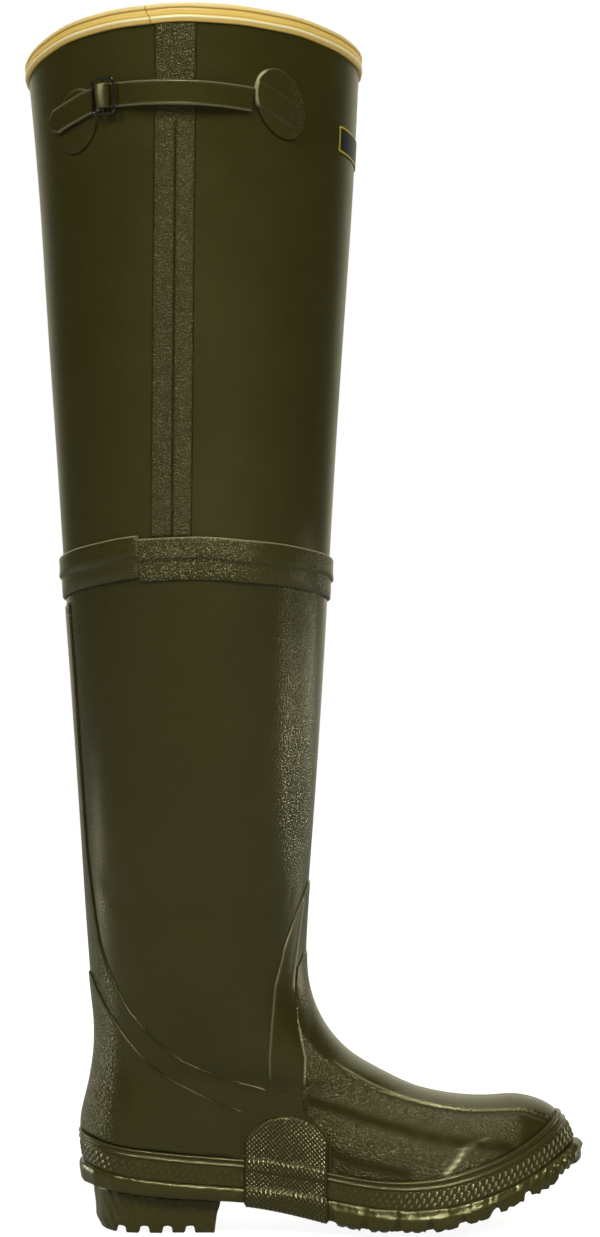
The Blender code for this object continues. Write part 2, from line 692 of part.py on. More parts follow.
def make_belt_strap():
    """Strap from the front patch, over the buckle's bar, to its free tail."""
    over_bar = [
        (BAR_TURN * math.cos(turn), BUCKLE_HEIGHT, BUCKLE_STANDOFF + BAR_TURN * math.sin(turn))
        for turn in np.radians([30, 60, 90, 120, 150])
    ]
    route = np.array([*STRAP_TO_BUCKLE, *over_bar, *STRAP_TAIL])
    middle = strap_point(route[:, 0], route[:, 1], route[:, 2])
    ahead = np.gradient(middle, axis=0)
    ahead /= np.linalg.norm(ahead, axis=1, keepdims=True)
    across = strap_point(route[:, 0], route[:, 1] + 1, route[:, 2]) - middle
    across -= ahead * (ahead * across).sum(axis=1, keepdims=True)
    across /= np.linalg.norm(across, axis=1, keepdims=True)
    face = np.cross(ahead, across)
    width = np.full(len(route), STRAP_WIDTH)
    width[-1] *= 0.45
    corners = ((-1, -1), (1, -1), (1, 1), (-1, 1), (-1, -1))

    def place(a, b):
        station = np.round(a * (len(route) - 1)).astype(int)
        corner = np.array(corners)[np.round(b * 4).astype(int)]
        sideways = across[station] * (corner[:, :1] * width[station, None] / 2)
        return middle[station] + sideways + face[station] * (corner[:, 1:] * STRAP_THICK / 2)

    return mapped_grid("belt_strap", len(route) - 1, 4, place, olive)


def make_buckle():
    """Wire frame with a middle bar; the strap runs over the bar."""
    seat = strap_point(np.array([0.0]), np.array([BUCKLE_HEIGHT]), np.array([BUCKLE_STANDOFF]))[0]
    out = normal(np.array([np.radians(BUCKLE_ANGLE)]), leg_level(np.array([BUCKLE_HEIGHT])))[0]
    up = np.array([0.0, 0.0, 1.0]) - out * out[2]
    up /= np.linalg.norm(up)
    forward = np.cross(out, up)
    corner_steps = 4
    inner_length = BUCKLE_HALF_LENGTH - BUCKLE_CORNER
    inner_width = BUCKLE_HALF_WIDTH - BUCKLE_CORNER
    quarters = ((1, 1), (-1, 1), (-1, -1), (1, -1))
    path = []
    for index, (side_u, side_v) in enumerate(quarters):
        for turn in np.linspace(0, math.pi / 2, corner_steps) + index * math.pi / 2:
            u = side_u * inner_length + BUCKLE_CORNER * math.cos(turn)
            v = side_v * inner_width + BUCKLE_CORNER * math.sin(turn)
            path.append((u, v, math.cos(turn), math.sin(turn)))
    path = np.array(path + path[:1])

    def frame_place(a, b):
        u, v, side_u, side_v = path[np.round(a * (len(path) - 1)).astype(int)].T
        swing = 2 * np.pi * b
        reach = BUCKLE_WIRE * np.cos(swing)
        lift = BUCKLE_WIRE * np.sin(swing)
        flat = np.outer(u + reach * side_u, forward) + np.outer(v + reach * side_v, up)
        return seat + flat + np.outer(lift, out)

    def bar_place(a, b):
        swing = 2 * np.pi * b
        v = (2 * a - 1) * BUCKLE_HALF_WIDTH
        flat = np.outer(BUCKLE_WIRE * np.cos(swing), forward) + np.outer(v, up)
        return seat + flat + np.outer(BUCKLE_WIRE * np.sin(swing), out)

    buckle = mapped_grid("buckle", len(path) - 1, 6, frame_place, black_metal)
    combine(buckle, mapped_grid("buckle_bar", 1, 6, bar_place, black_metal), "UNION")
    return buckle


def wrap_section(x, side, extra):
    """One side of the wrap's section at a place along the foot, from its top edge to the sole."""
    rise = math.sqrt(max(0.0, 1 - ((x - WRAP_MIDDLE) / WRAP_HALF) ** 2))
    top = WRAP_SHOULDER + (WRAP_TOP - WRAP_SHOULDER) * rise
    levels = np.linspace(2, 8, 200)
    top_level = np.interp(top, form(angle_at(x, levels), levels)[:, 2], levels)
    bead = FOXING_THICK + BEAD_RISE
    lip = 0.55 * extra / WRAP_THICK
    foot_level = 2.12 + 0.12 * lip
    rows = [
        *((level, WRAP_GAP + extra) for level in np.linspace(top_level, foot_level, 5)),
        (2.02 + 0.12 * lip, bead + WRAP_GAP + extra),
        (1.5, bead + WRAP_GAP + extra),
        (0.75, FOXING_THICK + WRAP_GAP + extra),
        (0.08, FOXING_THICK + WRAP_GAP + extra),
    ]
    levels, offsets = np.array(rows).T
    points = list(skin(side * angle_at(x, levels), levels, offsets))
    seat = float(sole["seat"](x))
    under = float(sole["under"](x))
    for offset, height in (
        (LIP_BULGE + WRAP_GAP + extra, seat - 1.0),
        (LIP_BULGE + WRAP_GAP + extra, seat - LIP_DROP),
        (LIP_LOW + WRAP_GAP + extra, under - WRAP_GAP - extra),
    ):
        point = skin(side * angle_at(x, 0.0), 0.0, offset)
        points.append(np.array([x, point[1], height]))
    return points


def make_shank_wrap():
    """Cross-hatched strap under the arch and up both sides, rounded at its ends."""
    turns = np.linspace(-np.pi / 2, np.pi / 2, WRAP_STATIONS)
    sections = []
    for x in WRAP_MIDDLE + WRAP_HALF * np.sin(turns):
        inner = wrap_section(x, 1, 0.0) + wrap_section(x, -1, 0.0)[::-1]
        outer = wrap_section(x, 1, WRAP_THICK) + wrap_section(x, -1, WRAP_THICK)[::-1]
        sections.append(inner + outer[::-1])
    sections = np.array(sections)
    count = sections.shape[1]

    def place(a, b):
        station = np.round(a * (WRAP_STATIONS - 1)).astype(int)
        corner = np.round(b * count).astype(int) % count
        return sections[station, corner]

    return mapped_grid("shank_wrap", WRAP_STATIONS - 1, count, place, olive)


def reset_scene():
    """Start from an empty scene."""
    for thing in list(bpy.data.objects):
        bpy.data.objects.remove(thing, do_unlink=True)


def set_on_origin():
    """Move the boot's frame so that the middle of its footprint box is the origin."""
    bpy.context.view_layer.update()
    graph = bpy.context.evaluated_depsgraph_get()
    corners = []
    for piece in pieces.objects:
        solid = piece.evaluated_get(graph)
        corners += [piece.matrix_world @ vertex.co for vertex in solid.data.vertices]
    corners = np.array(corners)
    middle = (corners.min(axis=0) + corners.max(axis=0)) / 2
    boot_frame.location = (-middle[0], -middle[1], -corners[:, 2].min())


reset_scene()
pieces = bpy.data.collections.new("hip_boot")
cutters = bpy.data.collections.new("cutters")
bpy.context.scene.collection.children.link(pieces)
bpy.context.scene.collection.children.link(cutters)
boot_frame = bpy.data.objects.new("boot_frame", None)
bpy.context.scene.collection.objects.link(boot_frame)

olive = rubber("olive_rubber", OLIVE)
sole_rubber = rubber("sole_rubber", OLIVE_SOLE, 0.55)
yellow = rubber("yellow_binding", YELLOW, 0.5)
insole_felt = rubber("insole_felt", INSOLE_GREY, 0.9)
black_metal = rubber("black_metal", BLACK_METAL, 0.4, 0.8)
navy = rubber("label_navy", NAVY, 0.5)

make_upper()
make_thigh_shaft()
make_outsole()
make_heel()
make_insole()
make_foxing()
make_knee_band()
make_collar_binding()
make_overlays()
make_shank_wrap()
make_side_tape()
make_leg_sheets()
make_belt_strap()
make_buckle()
set_on_origin()
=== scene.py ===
"""Looks of a hip-length rubber boot for the right foot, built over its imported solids."""

import math

import bmesh
import bpy
import numpy as np
from mathutils import Matrix, Vector


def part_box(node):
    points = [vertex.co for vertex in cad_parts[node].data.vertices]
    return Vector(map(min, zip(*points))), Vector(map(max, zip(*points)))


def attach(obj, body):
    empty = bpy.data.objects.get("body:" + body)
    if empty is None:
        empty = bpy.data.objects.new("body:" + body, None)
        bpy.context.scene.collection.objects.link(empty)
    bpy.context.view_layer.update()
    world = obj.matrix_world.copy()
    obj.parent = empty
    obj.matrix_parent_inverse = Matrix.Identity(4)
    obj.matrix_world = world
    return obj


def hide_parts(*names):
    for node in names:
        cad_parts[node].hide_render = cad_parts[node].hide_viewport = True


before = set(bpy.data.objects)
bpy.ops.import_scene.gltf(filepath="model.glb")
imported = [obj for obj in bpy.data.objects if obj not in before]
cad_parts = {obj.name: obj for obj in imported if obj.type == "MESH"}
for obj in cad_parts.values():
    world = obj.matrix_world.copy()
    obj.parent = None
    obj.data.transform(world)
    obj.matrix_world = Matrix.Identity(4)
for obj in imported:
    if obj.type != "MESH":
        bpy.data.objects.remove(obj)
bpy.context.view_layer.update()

# View and studio
# The boot stands on a pale floor in a white light tent, seen square from its outer side at half
# its height. Soft boxes light it from both sides and from above; the camera's side is darker.
MM = 0.001
heel_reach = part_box("insole")[0].x / MM - 6.2
leg_middle = (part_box("thigh_shaft")[0].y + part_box("thigh_shaft")[1].y) / 2 / MM
LAST_PLACE = np.array([heel_reach, leg_middle, 0.0])
CAMERA_PLACE = np.array([141.7, -2145.0, 393.9])
IMAGE_HEIGHT = 1237
PIXEL_SIZE = 0.65
SENSOR = 36.0

view = bpy.data.cameras.new("outer_side_view")
view.sensor_fit = "VERTICAL"
view.sensor_height = SENSOR
view.lens = SENSOR * -CAMERA_PLACE[1] / (IMAGE_HEIGHT * PIXEL_SIZE)
camera = bpy.data.objects.new("outer_side_view", view)
camera.location = (CAMERA_PLACE + LAST_PLACE) * MM
camera.rotation_euler = (math.pi / 2, 0, 0)
bpy.context.scene.collection.objects.link(camera)
bpy.context.scene.camera = camera
bpy.context.scene.view_settings.view_transform = "Standard"

SOFT_BOXES = (
    ("front_left_fill", (-2.3, -2.6, 2.7), (0.0, 0.0, 0.35), 1.2, 1.2, 88.0, 180.0, "fill"),
    ("front_right_fill", (2.3, -2.6, 2.7), (0.0, 0.0, 0.35), 1.2, 1.2, 88.0, 180.0, "fill"),
    ("foot_glint", (0.25, -1.1, 1.1), (0.06, 0.0, 0.05), 0.25, 0.2, 1.0, 36.0, "gloss"),
    ("leg_glint", (-0.3, -1.4, 2.2), (-0.05, 0.0, 0.6), 0.3, 0.3, 17.0, 120.0, "gloss"),
    ("toe_behind", (1.2, 0.7, 0.12), (0.12, 0.0, 0.06), 0.3, 0.3, 0.05, 24.0, "gloss"),
    ("calf_side", (1.35, 0.42, 0.32), (0.0, 0.0, 0.32), 0.22, 0.1, 0.036, 8.0, "gloss"),
    ("heel_side", (-1.45, 0.45, 0.10), (-0.13, 0.0, 0.07), 0.2, 0.2, 0.06, 14.0, "gloss"),
)
WARM_WHITE = (1.0, 0.97, 0.74)
for name, place, target, width, height, power, spread, gives in SOFT_BOXES:
    lamp = bpy.data.lights.new(name, "AREA")
    lamp.shape = "RECTANGLE"
    lamp.size = width
    lamp.size_y = height
    lamp.energy = power
    lamp.spread = math.radians(spread)
    lamp.color = WARM_WHITE
    soft_box = bpy.data.objects.new(name, lamp)
    soft_box.location = place
    soft_box.visible_diffuse = gives == "fill"
    soft_box.visible_glossy = gives == "gloss"
    toward = Vector(target) - Vector(place)
    soft_box.rotation_euler = toward.to_track_quat("-Z", "Y").to_euler()
    bpy.context.scene.collection.objects.link(soft_box)


def feed(owner, socket, value):
    """Set a shader socket, or link the output that feeds it. A colour is given as a triple."""
    if isinstance(value, bpy.types.NodeSocket):
        owner.node_tree.links.new(value, socket)
    else:
        socket.default_value = (*value, 1) if socket.type == "RGBA" else value


def node(owner, kind, inputs=None, output=0, **properties):
    """Add a shader node and give one of its outputs. Inputs and output go by name or place."""
    made = owner.node_tree.nodes.new("ShaderNode" + kind)
    for name, value in properties.items():
        setattr(made, name, value)
    for socket, value in (inputs or {}).items():
        feed(owner, made.inputs[socket], value)
    return made.outputs[output]


def blend(owner, share, under, over):
    """Mix two colours by a share."""
    return node(owner, "Mix", {0: share, 6: under, 7: over}, 2, data_type="RGBA")


TENT_BRIGHT = 1.2
TENT_DIM = 0.03
TENT_OVERHEAD = 0.6
tent = bpy.data.worlds.new("light_tent")
tent.use_nodes = True
bpy.context.scene.world = tent
sky = node(tent, "TexCoord", output="Generated")
sky_height = node(tent, "SeparateXYZ", {0: sky}, "Z")
sky_depth = node(tent, "SeparateXYZ", {0: sky}, "Y")
overhead = node(tent, "Math", {0: sky_height, 1: 0.0}, operation="MAXIMUM")
behind = node(tent, "Math", {0: overhead, 1: TENT_OVERHEAD, 2: sky_depth}, operation="MULTIPLY_ADD")
shade = node(
    tent, "MapRange", {"Value": behind, 1: 0.72, 2: 1.0, 3: TENT_DIM, 4: TENT_BRIGHT},
    interpolation_type="SMOOTHSTEP",
)
seen = node(tent, "LightPath", output="Is Camera Ray")
background = tent.node_tree.nodes["Background"]
feed(tent, background.inputs["Color"], blend(tent, seen, WARM_WHITE, (1, 1, 1)))
feed(tent, background.inputs["Strength"], node(tent, "Mix", {0: seen, 2: shade, 3: 1.0}))


def new_material(name):
    """A material with a shader to coat."""
    material = bpy.data.materials.new(name)
    material.use_nodes = True
    return material


def coat(material, sockets):
    """Set or feed sockets of a material's shader."""
    shader = material.node_tree.nodes["Principled BSDF"]
    for socket, value in sockets.items():
        feed(material, shader.inputs[socket], value)


floor_mesh = bmesh.new()
bmesh.ops.create_grid(floor_mesh, x_segments=1, y_segments=1, size=4.0)
floor_data = bpy.data.meshes.new("floor")
floor_mesh.to_mesh(floor_data)
floor_mesh.free()
floor = bpy.data.objects.new("floor", floor_data)
bpy.context.scene.collection.objects.link(floor)
floor_paint = new_material("pale_floor")
floor_seen = node(floor_paint, "LightPath", output="Is Camera Ray")
coat(floor_paint, {
    "Base Color": (0.3, 0.3, 0.3),
    "Roughness": 1.0,
    "Emission Color": (1, 1, 1),
    "Emission Strength": node(floor_paint, "Mix", {0: floor_seen, 2: 0.15, 3: 0.93}),
})
floor_data.materials.append(floor_paint)

# Upper: foot, ankle and calf
# One layer of olive rubber on a knitted lining, built up on a last and cured whole. The last is
# drawn in millimetres, from the back of the heel forward and from the floor up.
SECTION_COLUMNS = "name back_x back_z front_x front_z sag leg half_width arch".split()
SECTIONS = (
    ("seat", 3.0, 44.8, 317.5, 55.8, 1.0, 0.0, 38.0, 0.0),
    ("foxing_middle", 1.6, 54.2, 314.2, 63.6, 1.0, 0.0, 38.0, 0.0),
    ("foxing_top", 1.0, 63.5, 308.2, 72.2, 1.0, 0.0, 39.0, 0.0),
    ("toe_crown", 1.4, 72.0, 297.0, 79.2, 0.84, 0.0, 40.0, 0.0),
    ("toe_top", 3.0, 80.0, 281.0, 82.8, 0.60, 0.0, 41.0, 0.0),
    ("vamp_dip", 4.9, 87.5, 264.0, 82.2, 0.32, 0.03, 42.0, 0.0),
    ("vamp", 6.6, 95.0, 241.0, 83.7, 0.12, 0.09, 43.0, 0.0),
    ("low_instep", 8.0, 103.0, 216.0, 89.3, 0.03, 0.20, 44.0, 0.0),
    ("instep", 9.3, 112.0, 193.0, 99.0, 0.0, 0.38, 48.5, 0.0),
    ("high_instep", 9.9, 123.0, 171.4, 113.4, 0.0, 0.60, 50.0, 0.0),
    ("ankle_bend", 9.4, 137.0, 155.2, 133.0, 0.0, 0.80, 51.5, 0.0),
    ("ankle", 7.4, 155.0, 146.7, 155.0, 0.0, 0.94, 53.5, 0.0),
    ("shin_low", 5.5, 178.0, 144.8, 178.0, 0.0, 1.0, 56.0, 0.0),
    ("shin", 3.1, 212.0, 146.6, 212.0, 0.0, 1.0, 60.0, 0.0),
    ("calf_low", 0.2, 258.0, 150.0, 258.0, 0.0, 1.0, 65.0, 1.0),
    ("calf", -3.4, 312.0, 153.8, 312.0, 0.0, 1.0, 70.0, 4.0),
    ("calf_high", -7.2, 366.0, 157.2, 366.0, 0.0, 1.0, 74.5, 8.0),
    ("knee", -11.0, 419.0, 160.2, 419.0, 0.0, 1.0, 79.5, 12.5),
    ("thigh_low", -16.3, 500.0, 164.8, 500.0, 0.0, 1.0, 85.5, 13.5),
    ("thigh", -21.8, 580.0, 170.0, 580.0, 0.0, 1.0, 91.5, 14.5),
    ("thigh_high", -27.4, 666.0, 175.8, 666.0, 0.0, 1.0, 97.0, 15.4),
    ("collar", -35.1, 757.6, 180.4, 757.6, 0.0, 1.0, 102.0, 17.6),
)
LEVEL = {row[0]: index for index, row in enumerate(SECTIONS)}
PLAN_COLUMNS = "x half_width centre".split()
PLAN = (
    (0.0, 36.0, 0.0), (35.0, 36.5, 0.0), (75.0, 35.0, -0.5), (125.0, 34.5, -2.0), (165.0, 40.0, -3.0),
    (200.0, 47.5, -3.0), (232.0, 52.0, -0.5), (262.0, 50.5, 3.0), (290.0, 46.0, 6.5), (317.5, 40.0, 9.0),
)
SOLE_COLUMNS = "x seat under".split()
SOLE = (
    (3.0, 44.8, 30.4), (22.0, 39.4, 27.6), (49.0, 35.3, 24.4), (75.0, 32.8, 22.4), (103.0, 30.8, 21.0),
    (135.0, 27.6, 16.0), (161.0, 24.2, 10.2), (185.0, 20.6, 5.6), (205.0, 19.0, 5.0), (228.0, 20.0, 6.0),
    (245.0, 22.8, 10.6), (265.0, 28.4, 18.2), (281.0, 34.2, 24.6), (297.0, 42.0, 31.4), (310.0, 50.2, 37.4),
    (317.5, 55.8, 41.4),
)
HEEL_ROUND = 40.0
TOE_ROUND = 85.0
SHIN_STEEPNESS = 8.0
COLLAR_DROP = 8.0


def spline(stations, values):
    """A smooth cubic curve through the points of a table."""
    x = np.array(stations, float)
    y = np.array(values, float)
    step = np.diff(x)
    slope = np.diff(y) / step
    system = np.eye(len(x))
    bend = np.zeros(len(x))
    for i in range(1, len(x) - 1):
        system[i, i - 1 : i + 2] = step[i - 1], 2 * (step[i - 1] + step[i]), step[i]
        bend[i] = 6 * (slope[i] - slope[i - 1])
    bend = np.linalg.solve(system, bend)

    def at(place):
        place = np.clip(place, x[0], x[-1])
        i = np.clip(np.searchsorted(x, place) - 1, 0, len(step) - 1)
        before = (x[i + 1] - place) / step[i]
        after = (place - x[i]) / step[i]
        curve = (before**3 - before) * bend[i] + (after**3 - after) * bend[i + 1]
        return before * y[i] + after * y[i + 1] + curve * step[i] ** 2 / 6

    return at


def table_curves(names, rows, stations):
    """One curve for each named column of a table."""
    return {name: spline(stations, [row[names.index(name)] for row in rows]) for name in names[1:]}


section = table_curves(SECTION_COLUMNS, SECTIONS, range(len(SECTIONS)))
plan = table_curves(PLAN_COLUMNS, PLAN, [row[0] for row in PLAN])
sole = table_curves(SOLE_COLUMNS, SOLE, [row[0] for row in SOLE])
HEEL_X, HEEL_Z = SECTIONS[0][1], SECTIONS[0][2]
TOE_X, TOE_Z = SECTIONS[0][3], SECTIONS[0][4]
RIDGE_LEVELS = np.linspace(LEVEL["ankle"], 0, 1200)
RIDGE_X = section["front_x"](RIDGE_LEVELS)
RIDGE_Z = section["front_z"](RIDGE_LEVELS)


def soft_step(t):
    """Eased rise from 0 to 1."""
    t = np.clip(t, 0, 1)
    return t * t * (3 - 2 * t)


def rounded_end(distance, length, power):
    """Half-width factor that rounds an end of the plan off."""
    inward = np.clip(1 - distance / length, 0, 1)
    return np.sqrt(1 - inward**power)


def foot_half_width(x, z, back_x):
    """Half width of the foot at a place and height."""
    toward_ball = soft_step(x / 120)
    from_heel = (x - back_x) * (1 - toward_ball) + x * toward_ball
    seat = sole["seat"](x)
    ridge = np.interp(x, RIDGE_X, RIDGE_Z) + np.clip(RIDGE_X[0] - x, 0, None) * SHIN_STEEPNESS
    rise = np.clip((z - seat) / np.maximum(ridge - seat, 0.6), 0, 1)
    ends = rounded_end(from_heel, HEEL_ROUND, 2.2) * rounded_end(TOE_X - x, TOE_ROUND, 2.4)
    return plan["half_width"](x) * ends * np.sqrt(1 - rise**2.5)


def form(angle, level):
    """Points of the last. The angle runs from the back round the outer side to the front."""
    angle, level = np.broadcast_arrays(np.asarray(angle, float), np.asarray(level, float))
    along = (1 - np.cos(angle)) / 2
    side = np.sin(angle)
    back_x = section["back_x"](level)
    back_z = section["back_z"](level)
    x = back_x + along * (section["front_x"](level) - back_x)
    seat_x = HEEL_X + along * (TOE_X - HEEL_X)
    dip = sole["seat"](seat_x) - HEEL_Z - along * (TOE_Z - HEEL_Z)
    z = back_z + along * (section["front_z"](level) - back_z) + section["sag"](level) * dip
    leg = np.clip(section["leg"](level), 0, 1)
    foot = foot_half_width(x, z, back_x) * np.sign(np.round(side, 9))
    half = leg * section["half_width"](level) * side + (1 - leg) * foot
    y = (1 - leg) * plan["centre"](x) - half
    arch = section["arch"](level) * (0.65 * side + 0.35 * side**2)
    toward_rim = np.clip(level - LEVEL["thigh_high"], 0, 1) ** 2
    drop = COLLAR_DROP * toward_rim * (1 - along) ** 10
    return np.stack([x, y, z + arch - drop], axis=-1)


def normal(angle, level):
    """Outward direction of the last; it is level at the seat, where pieces stand on the sole."""
    step = 1e-3
    round_boot = form(angle + step, level) - form(angle - step, level)
    up_boot = form(angle, level + step) - form(angle, level - step)
    out = np.cross(round_boot, up_boot)
    out[..., 2] *= np.clip(level, 0, 1)
    return out / np.linalg.norm(out, axis=-1, keepdims=True)


def skin(angle, level, offset):
    """Points at a distance from the last."""
    angle = np.asarray(angle, float)
    level = np.asarray(level, float)
    return form(angle, level) + normal(angle, level) * np.asarray(offset, float)[..., None]


LEG_LEVELS = np.linspace(LEVEL["ankle"], LEVEL["collar"], 2000)
LEG_HEIGHTS = section["back_z"](LEG_LEVELS)


def leg_level(height):
    """Level of a height on the leg's front and back."""
    return np.interp(height, LEG_HEIGHTS, LEG_LEVELS)


def angle_at(x, level):
    """Angle at which a loop passes a place along the foot, on the outer side."""
    back_x = section["back_x"](level)
    along = (x - back_x) / (section["front_x"](level) - back_x)
    return np.arccos(np.clip(1 - 2 * along, -1, 1))


def bell(t):
    """Smooth hump, 1 in its middle and about 0 past 2."""
    return np.exp(-(t**2))


def run_along(points):
    """Length of a line up to each of its points."""
    return np.concatenate([[0], np.cumsum(np.linalg.norm(np.diff(points, axis=0), axis=1))])


def reach_at(edge, level):
    """How far along the foot a sheet's edge lies at a level. The edge holds (level, x) points."""
    return np.interp(level, *zip(*edge))


def drawn(points, side=1, count=60):
    """A line over the last through listed points, each a level and a place along the foot."""
    spot = np.linspace(0, len(points) - 1, count)
    level, x = (spline(range(len(points)), [point[part] for point in points])(spot) for part in (0, 1))
    return form(side * angle_at(x, level), level)


def distance_to(points, line):
    """Shortest distance of each point from a drawn line."""
    nearest = np.full(len(points), np.inf)
    for corner, after in zip(line, line[1:]):
        run = after - corner
        share = np.clip(((points - corner) @ run) / max(run @ run, 1e-9), 0, 1)
        apart = points - corner - share[:, None] * run
        nearest = np.minimum(nearest, np.einsum("ij,ij->i", apart, apart))
    return np.sqrt(nearest)


def crease(points, line, width, height):
    """Height of a soft ridge, or trough if negative, along a drawn line."""
    return height * bell(distance_to(points, line) / width)


def laid(columns, rows, place):
    """A grid laid by place(column, row), which gives points in the last's millimetres and marks."""
    mesh = bmesh.new()
    bmesh.ops.create_grid(mesh, x_segments=columns, y_segments=rows, size=0.5)
    squares = np.array([vertex.co for vertex in mesh.verts]) + 0.5
    column = np.round(squares[:, 0] * columns).astype(int)
    row = np.round(squares[:, 1] * rows).astype(int)
    points, marks = place(column, row)
    points = (points + LAST_PLACE) * MM
    layers = {name: mesh.verts.layers.float.new(name) for name in marks}
    for index, vertex in enumerate(mesh.verts):
        vertex.co = points[index]
        for name, layer in layers.items():
            vertex[layer] = marks[name][index]
    rim = [vertex for vertex in mesh.verts if vertex.is_boundary]
    bmesh.ops.remove_doubles(mesh, verts=rim, dist=1e-6)
    bmesh.ops.dissolve_degenerate(mesh, edges=mesh.edges, dist=1e-7)
    return mesh


def finish_piece(name, mesh, slot, replaced, *materials):
    """Make a mesh a piece that stands for solids of the frame."""
    bmesh.ops.recalc_face_normals(mesh, faces=mesh.faces)
    inside = mesh.verts.layers.float.get("lined")
    if inside:
        for face in mesh.faces:
            face.material_index = int(all(vertex[inside] > 0.5 for vertex in face.verts))
    data = bpy.data.meshes.new(name)
    mesh.to_mesh(data)
    mesh.free()
    data.shade_smooth()
    for material in materials:
        data.materials.append(material)
    piece = bpy.data.objects.new(name, data)
    bpy.context.scene.collection.objects.link(piece)
    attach(piece, "root")
    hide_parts(*replaced)


OLIVE = (0.034, 0.030, 0.0060)
OLIVE_WORN = (0.042, 0.038, 0.0095)
# Painted shade colour for marked troughs, grooves and edges.
OLIVE_SHADE = (0.022, 0.0195, 0.0040)
# Pale colour for stress bloom and for painted highlights and glints.
BLOOM_AND_HIGHLIGHT = (0.80, 0.76, 0.52)


def noise(owner, place, scale, detail, roughness=0.5):
    """Cloudy pattern from 0 to 1."""
    inputs = {"Vector": place, "Scale": scale, "Detail": detail, "Roughness": roughness}
    return node(owner, "TexNoise", inputs)


def ramp(owner, value, low, high, start=0.0, end=1.0):
    """Stretch the values from low to high over those from start to end."""
    return node(owner, "MapRange", {"Value": value, 1: low, 2: high, 3: start, 4: end})


def mark(owner, name):
    """A mark that is laid on the mesh with its points."""
    return node(owner, "Attribute", output="Fac", attribute_name=name)


def sum_of(owner, value, times, more):
    """A value times another, and one more added."""
    return node(owner, "Math", {0: value, 1: times, 2: more}, operation="MULTIPLY_ADD")


def olive_rubber(
    name, roughness, tone=1.0, grain=0.0, grain_size=1.0, depth=0.35, painted_glint=0.12, dull_shaded=False,
):
    """Cured olive rubber: mottled, unevenly glossy and grained, with painted glints on its grain; painted
    pale where marked for stress bloom and painted highlight, and darkened with painted shade and dulled where
    marked.
    """
    material = new_material(name)
    place = node(material, "TexCoord", output="Object")
    cloud = noise(material, place, 16.0, 4.0, 0.6)
    mottle = node(material, "Mix", {0: 0.3, 2: cloud, 3: noise(material, place, 420.0, 3.0)})
    plain, worn = ([tone * part for part in shade] for shade in (OLIVE, OLIVE_WORN))
    colour = blend(material, ramp(material, mottle, 0.35, 0.75), plain, worn)
    amount = node(material, "Math", {0: mark(material, "grain"), 1: grain}, operation="ADD", use_clamp=True)
    # Painted glints: pale specks in the colour, scaled by the grain.
    glint = ramp(material, noise(material, place, 1100.0 / grain_size, 1.0), 0.56, 0.74, 0.0, painted_glint)
    # Marked parts are painted pale: stress bloom, and painted highlight on lit edges and crests.
    colour = blend(material, sum_of(material, glint, amount, mark(material, "bloom_and_highlight")), colour, BLOOM_AND_HIGHLIGHT)
    gloss = ramp(material, mottle, 0.3, 0.7, roughness - 0.05, roughness + 0.07)
    if dull_shaded:
        # Painted shade: marked parts are darkened in colour as well as dulled.
        dull_shade = mark(material, "matte_shade")
        colour = blend(material, dull_shade, colour, OLIVE_SHADE)
        gloss = sum_of(material, dull_shade, 0.5, gloss)
        coat(material, {"Specular IOR Level": sum_of(material, dull_shade, -0.42, 0.5)})
    cells = {"Vector": place, "Scale": 1000.0 / grain_size, "Smoothness": 0.6}
    pebble = node(material, "TexVoronoi", cells, "Distance", feature="SMOOTH_F1")
    pit = noise(material, place, 1500.0 / grain_size, 2.0)
    grit = node(material, "Math", {0: pit, 1: pebble}, operation="SUBTRACT")
    graded = node(material, "Math", {0: grit, 1: amount}, operation="MULTIPLY")
    swell = node(material, "Bump", {"Strength": 0.35, "Distance": 0.0012, "Height": cloud})
    relief = {"Strength": 1.0, "Distance": depth * MM, "Height": graded, "Normal": swell}
    coat(material, {
        "Base Color": colour,
        "Roughness": gloss,
        "Specular Tint": (1.0, 0.985, 0.68),
        "Normal": node(material, "Bump", relief),
    })
    return material


def knit_lining(name, colour, stitch):
    """Knitted cloth: fine ribs crossed by rows of stitches."""
    material = new_material(name)
    place = node(material, "TexCoord", output="Object")
    threads = {"Vector": place, "Scale": 1000 / stitch, "Distortion": 0.6}
    rib, wale = (
        node(material, "TexWave", threads, "Fac", bands_direction=way) for way in ("Z", "DIAGONAL")
    )
    weave = node(material, "Math", {0: rib, 1: wale}, operation="MULTIPLY")
    coat(material, {
        "Base Color": blend(material, weave, [0.6 * part for part in colour], colour),
        "Roughness": 0.95,
        "Sheen Weight": 0.3,
        "Normal": node(material, "Bump", {"Strength": 0.5, "Distance": 0.0004, "Height": weave}),
    })
    return material


def ring(columns, profile, relief=None, lined=None):
    """A closed ring round the boot. Its profile holds (level, offset) corners."""
    levels, offsets = np.array([*profile, profile[0]]).T

    def place(column, row):
        angle = 2 * np.pi * column / columns
        level = levels[row]
        corner = row % len(profile)
        lift, marks = relief(angle, level, corner) if relief else (0.0, {})
        if lined is not None:
            marks["lined"] = lined[corner]
        return skin(angle, level, offsets[row] + lift), marks

    return laid(columns, len(profile), place)


def walls(out, inner, thick):
    """Profile of a tube's outer wall and its lined inner wall, and a 1 where it is lined."""
    profile = [(level, 0.0) for level in out] + [(level, -thick) for level in inner[::-1]]
    return profile, np.array([0.0] * len(out) + [1.0] * len(inner))


UPPER_WALL = 2.5
KNEE_HEIGHT = 419.0
JOINT_GAP = 0.18
boot_rubber = olive_rubber("boot_rubber", 0.30, 0.86, grain=0.08, grain_size=1.5, depth=1.0, dull_shaded=True)
lining = knit_lining("knit_lining", (0.16, 0.145, 0.10), 2.2)

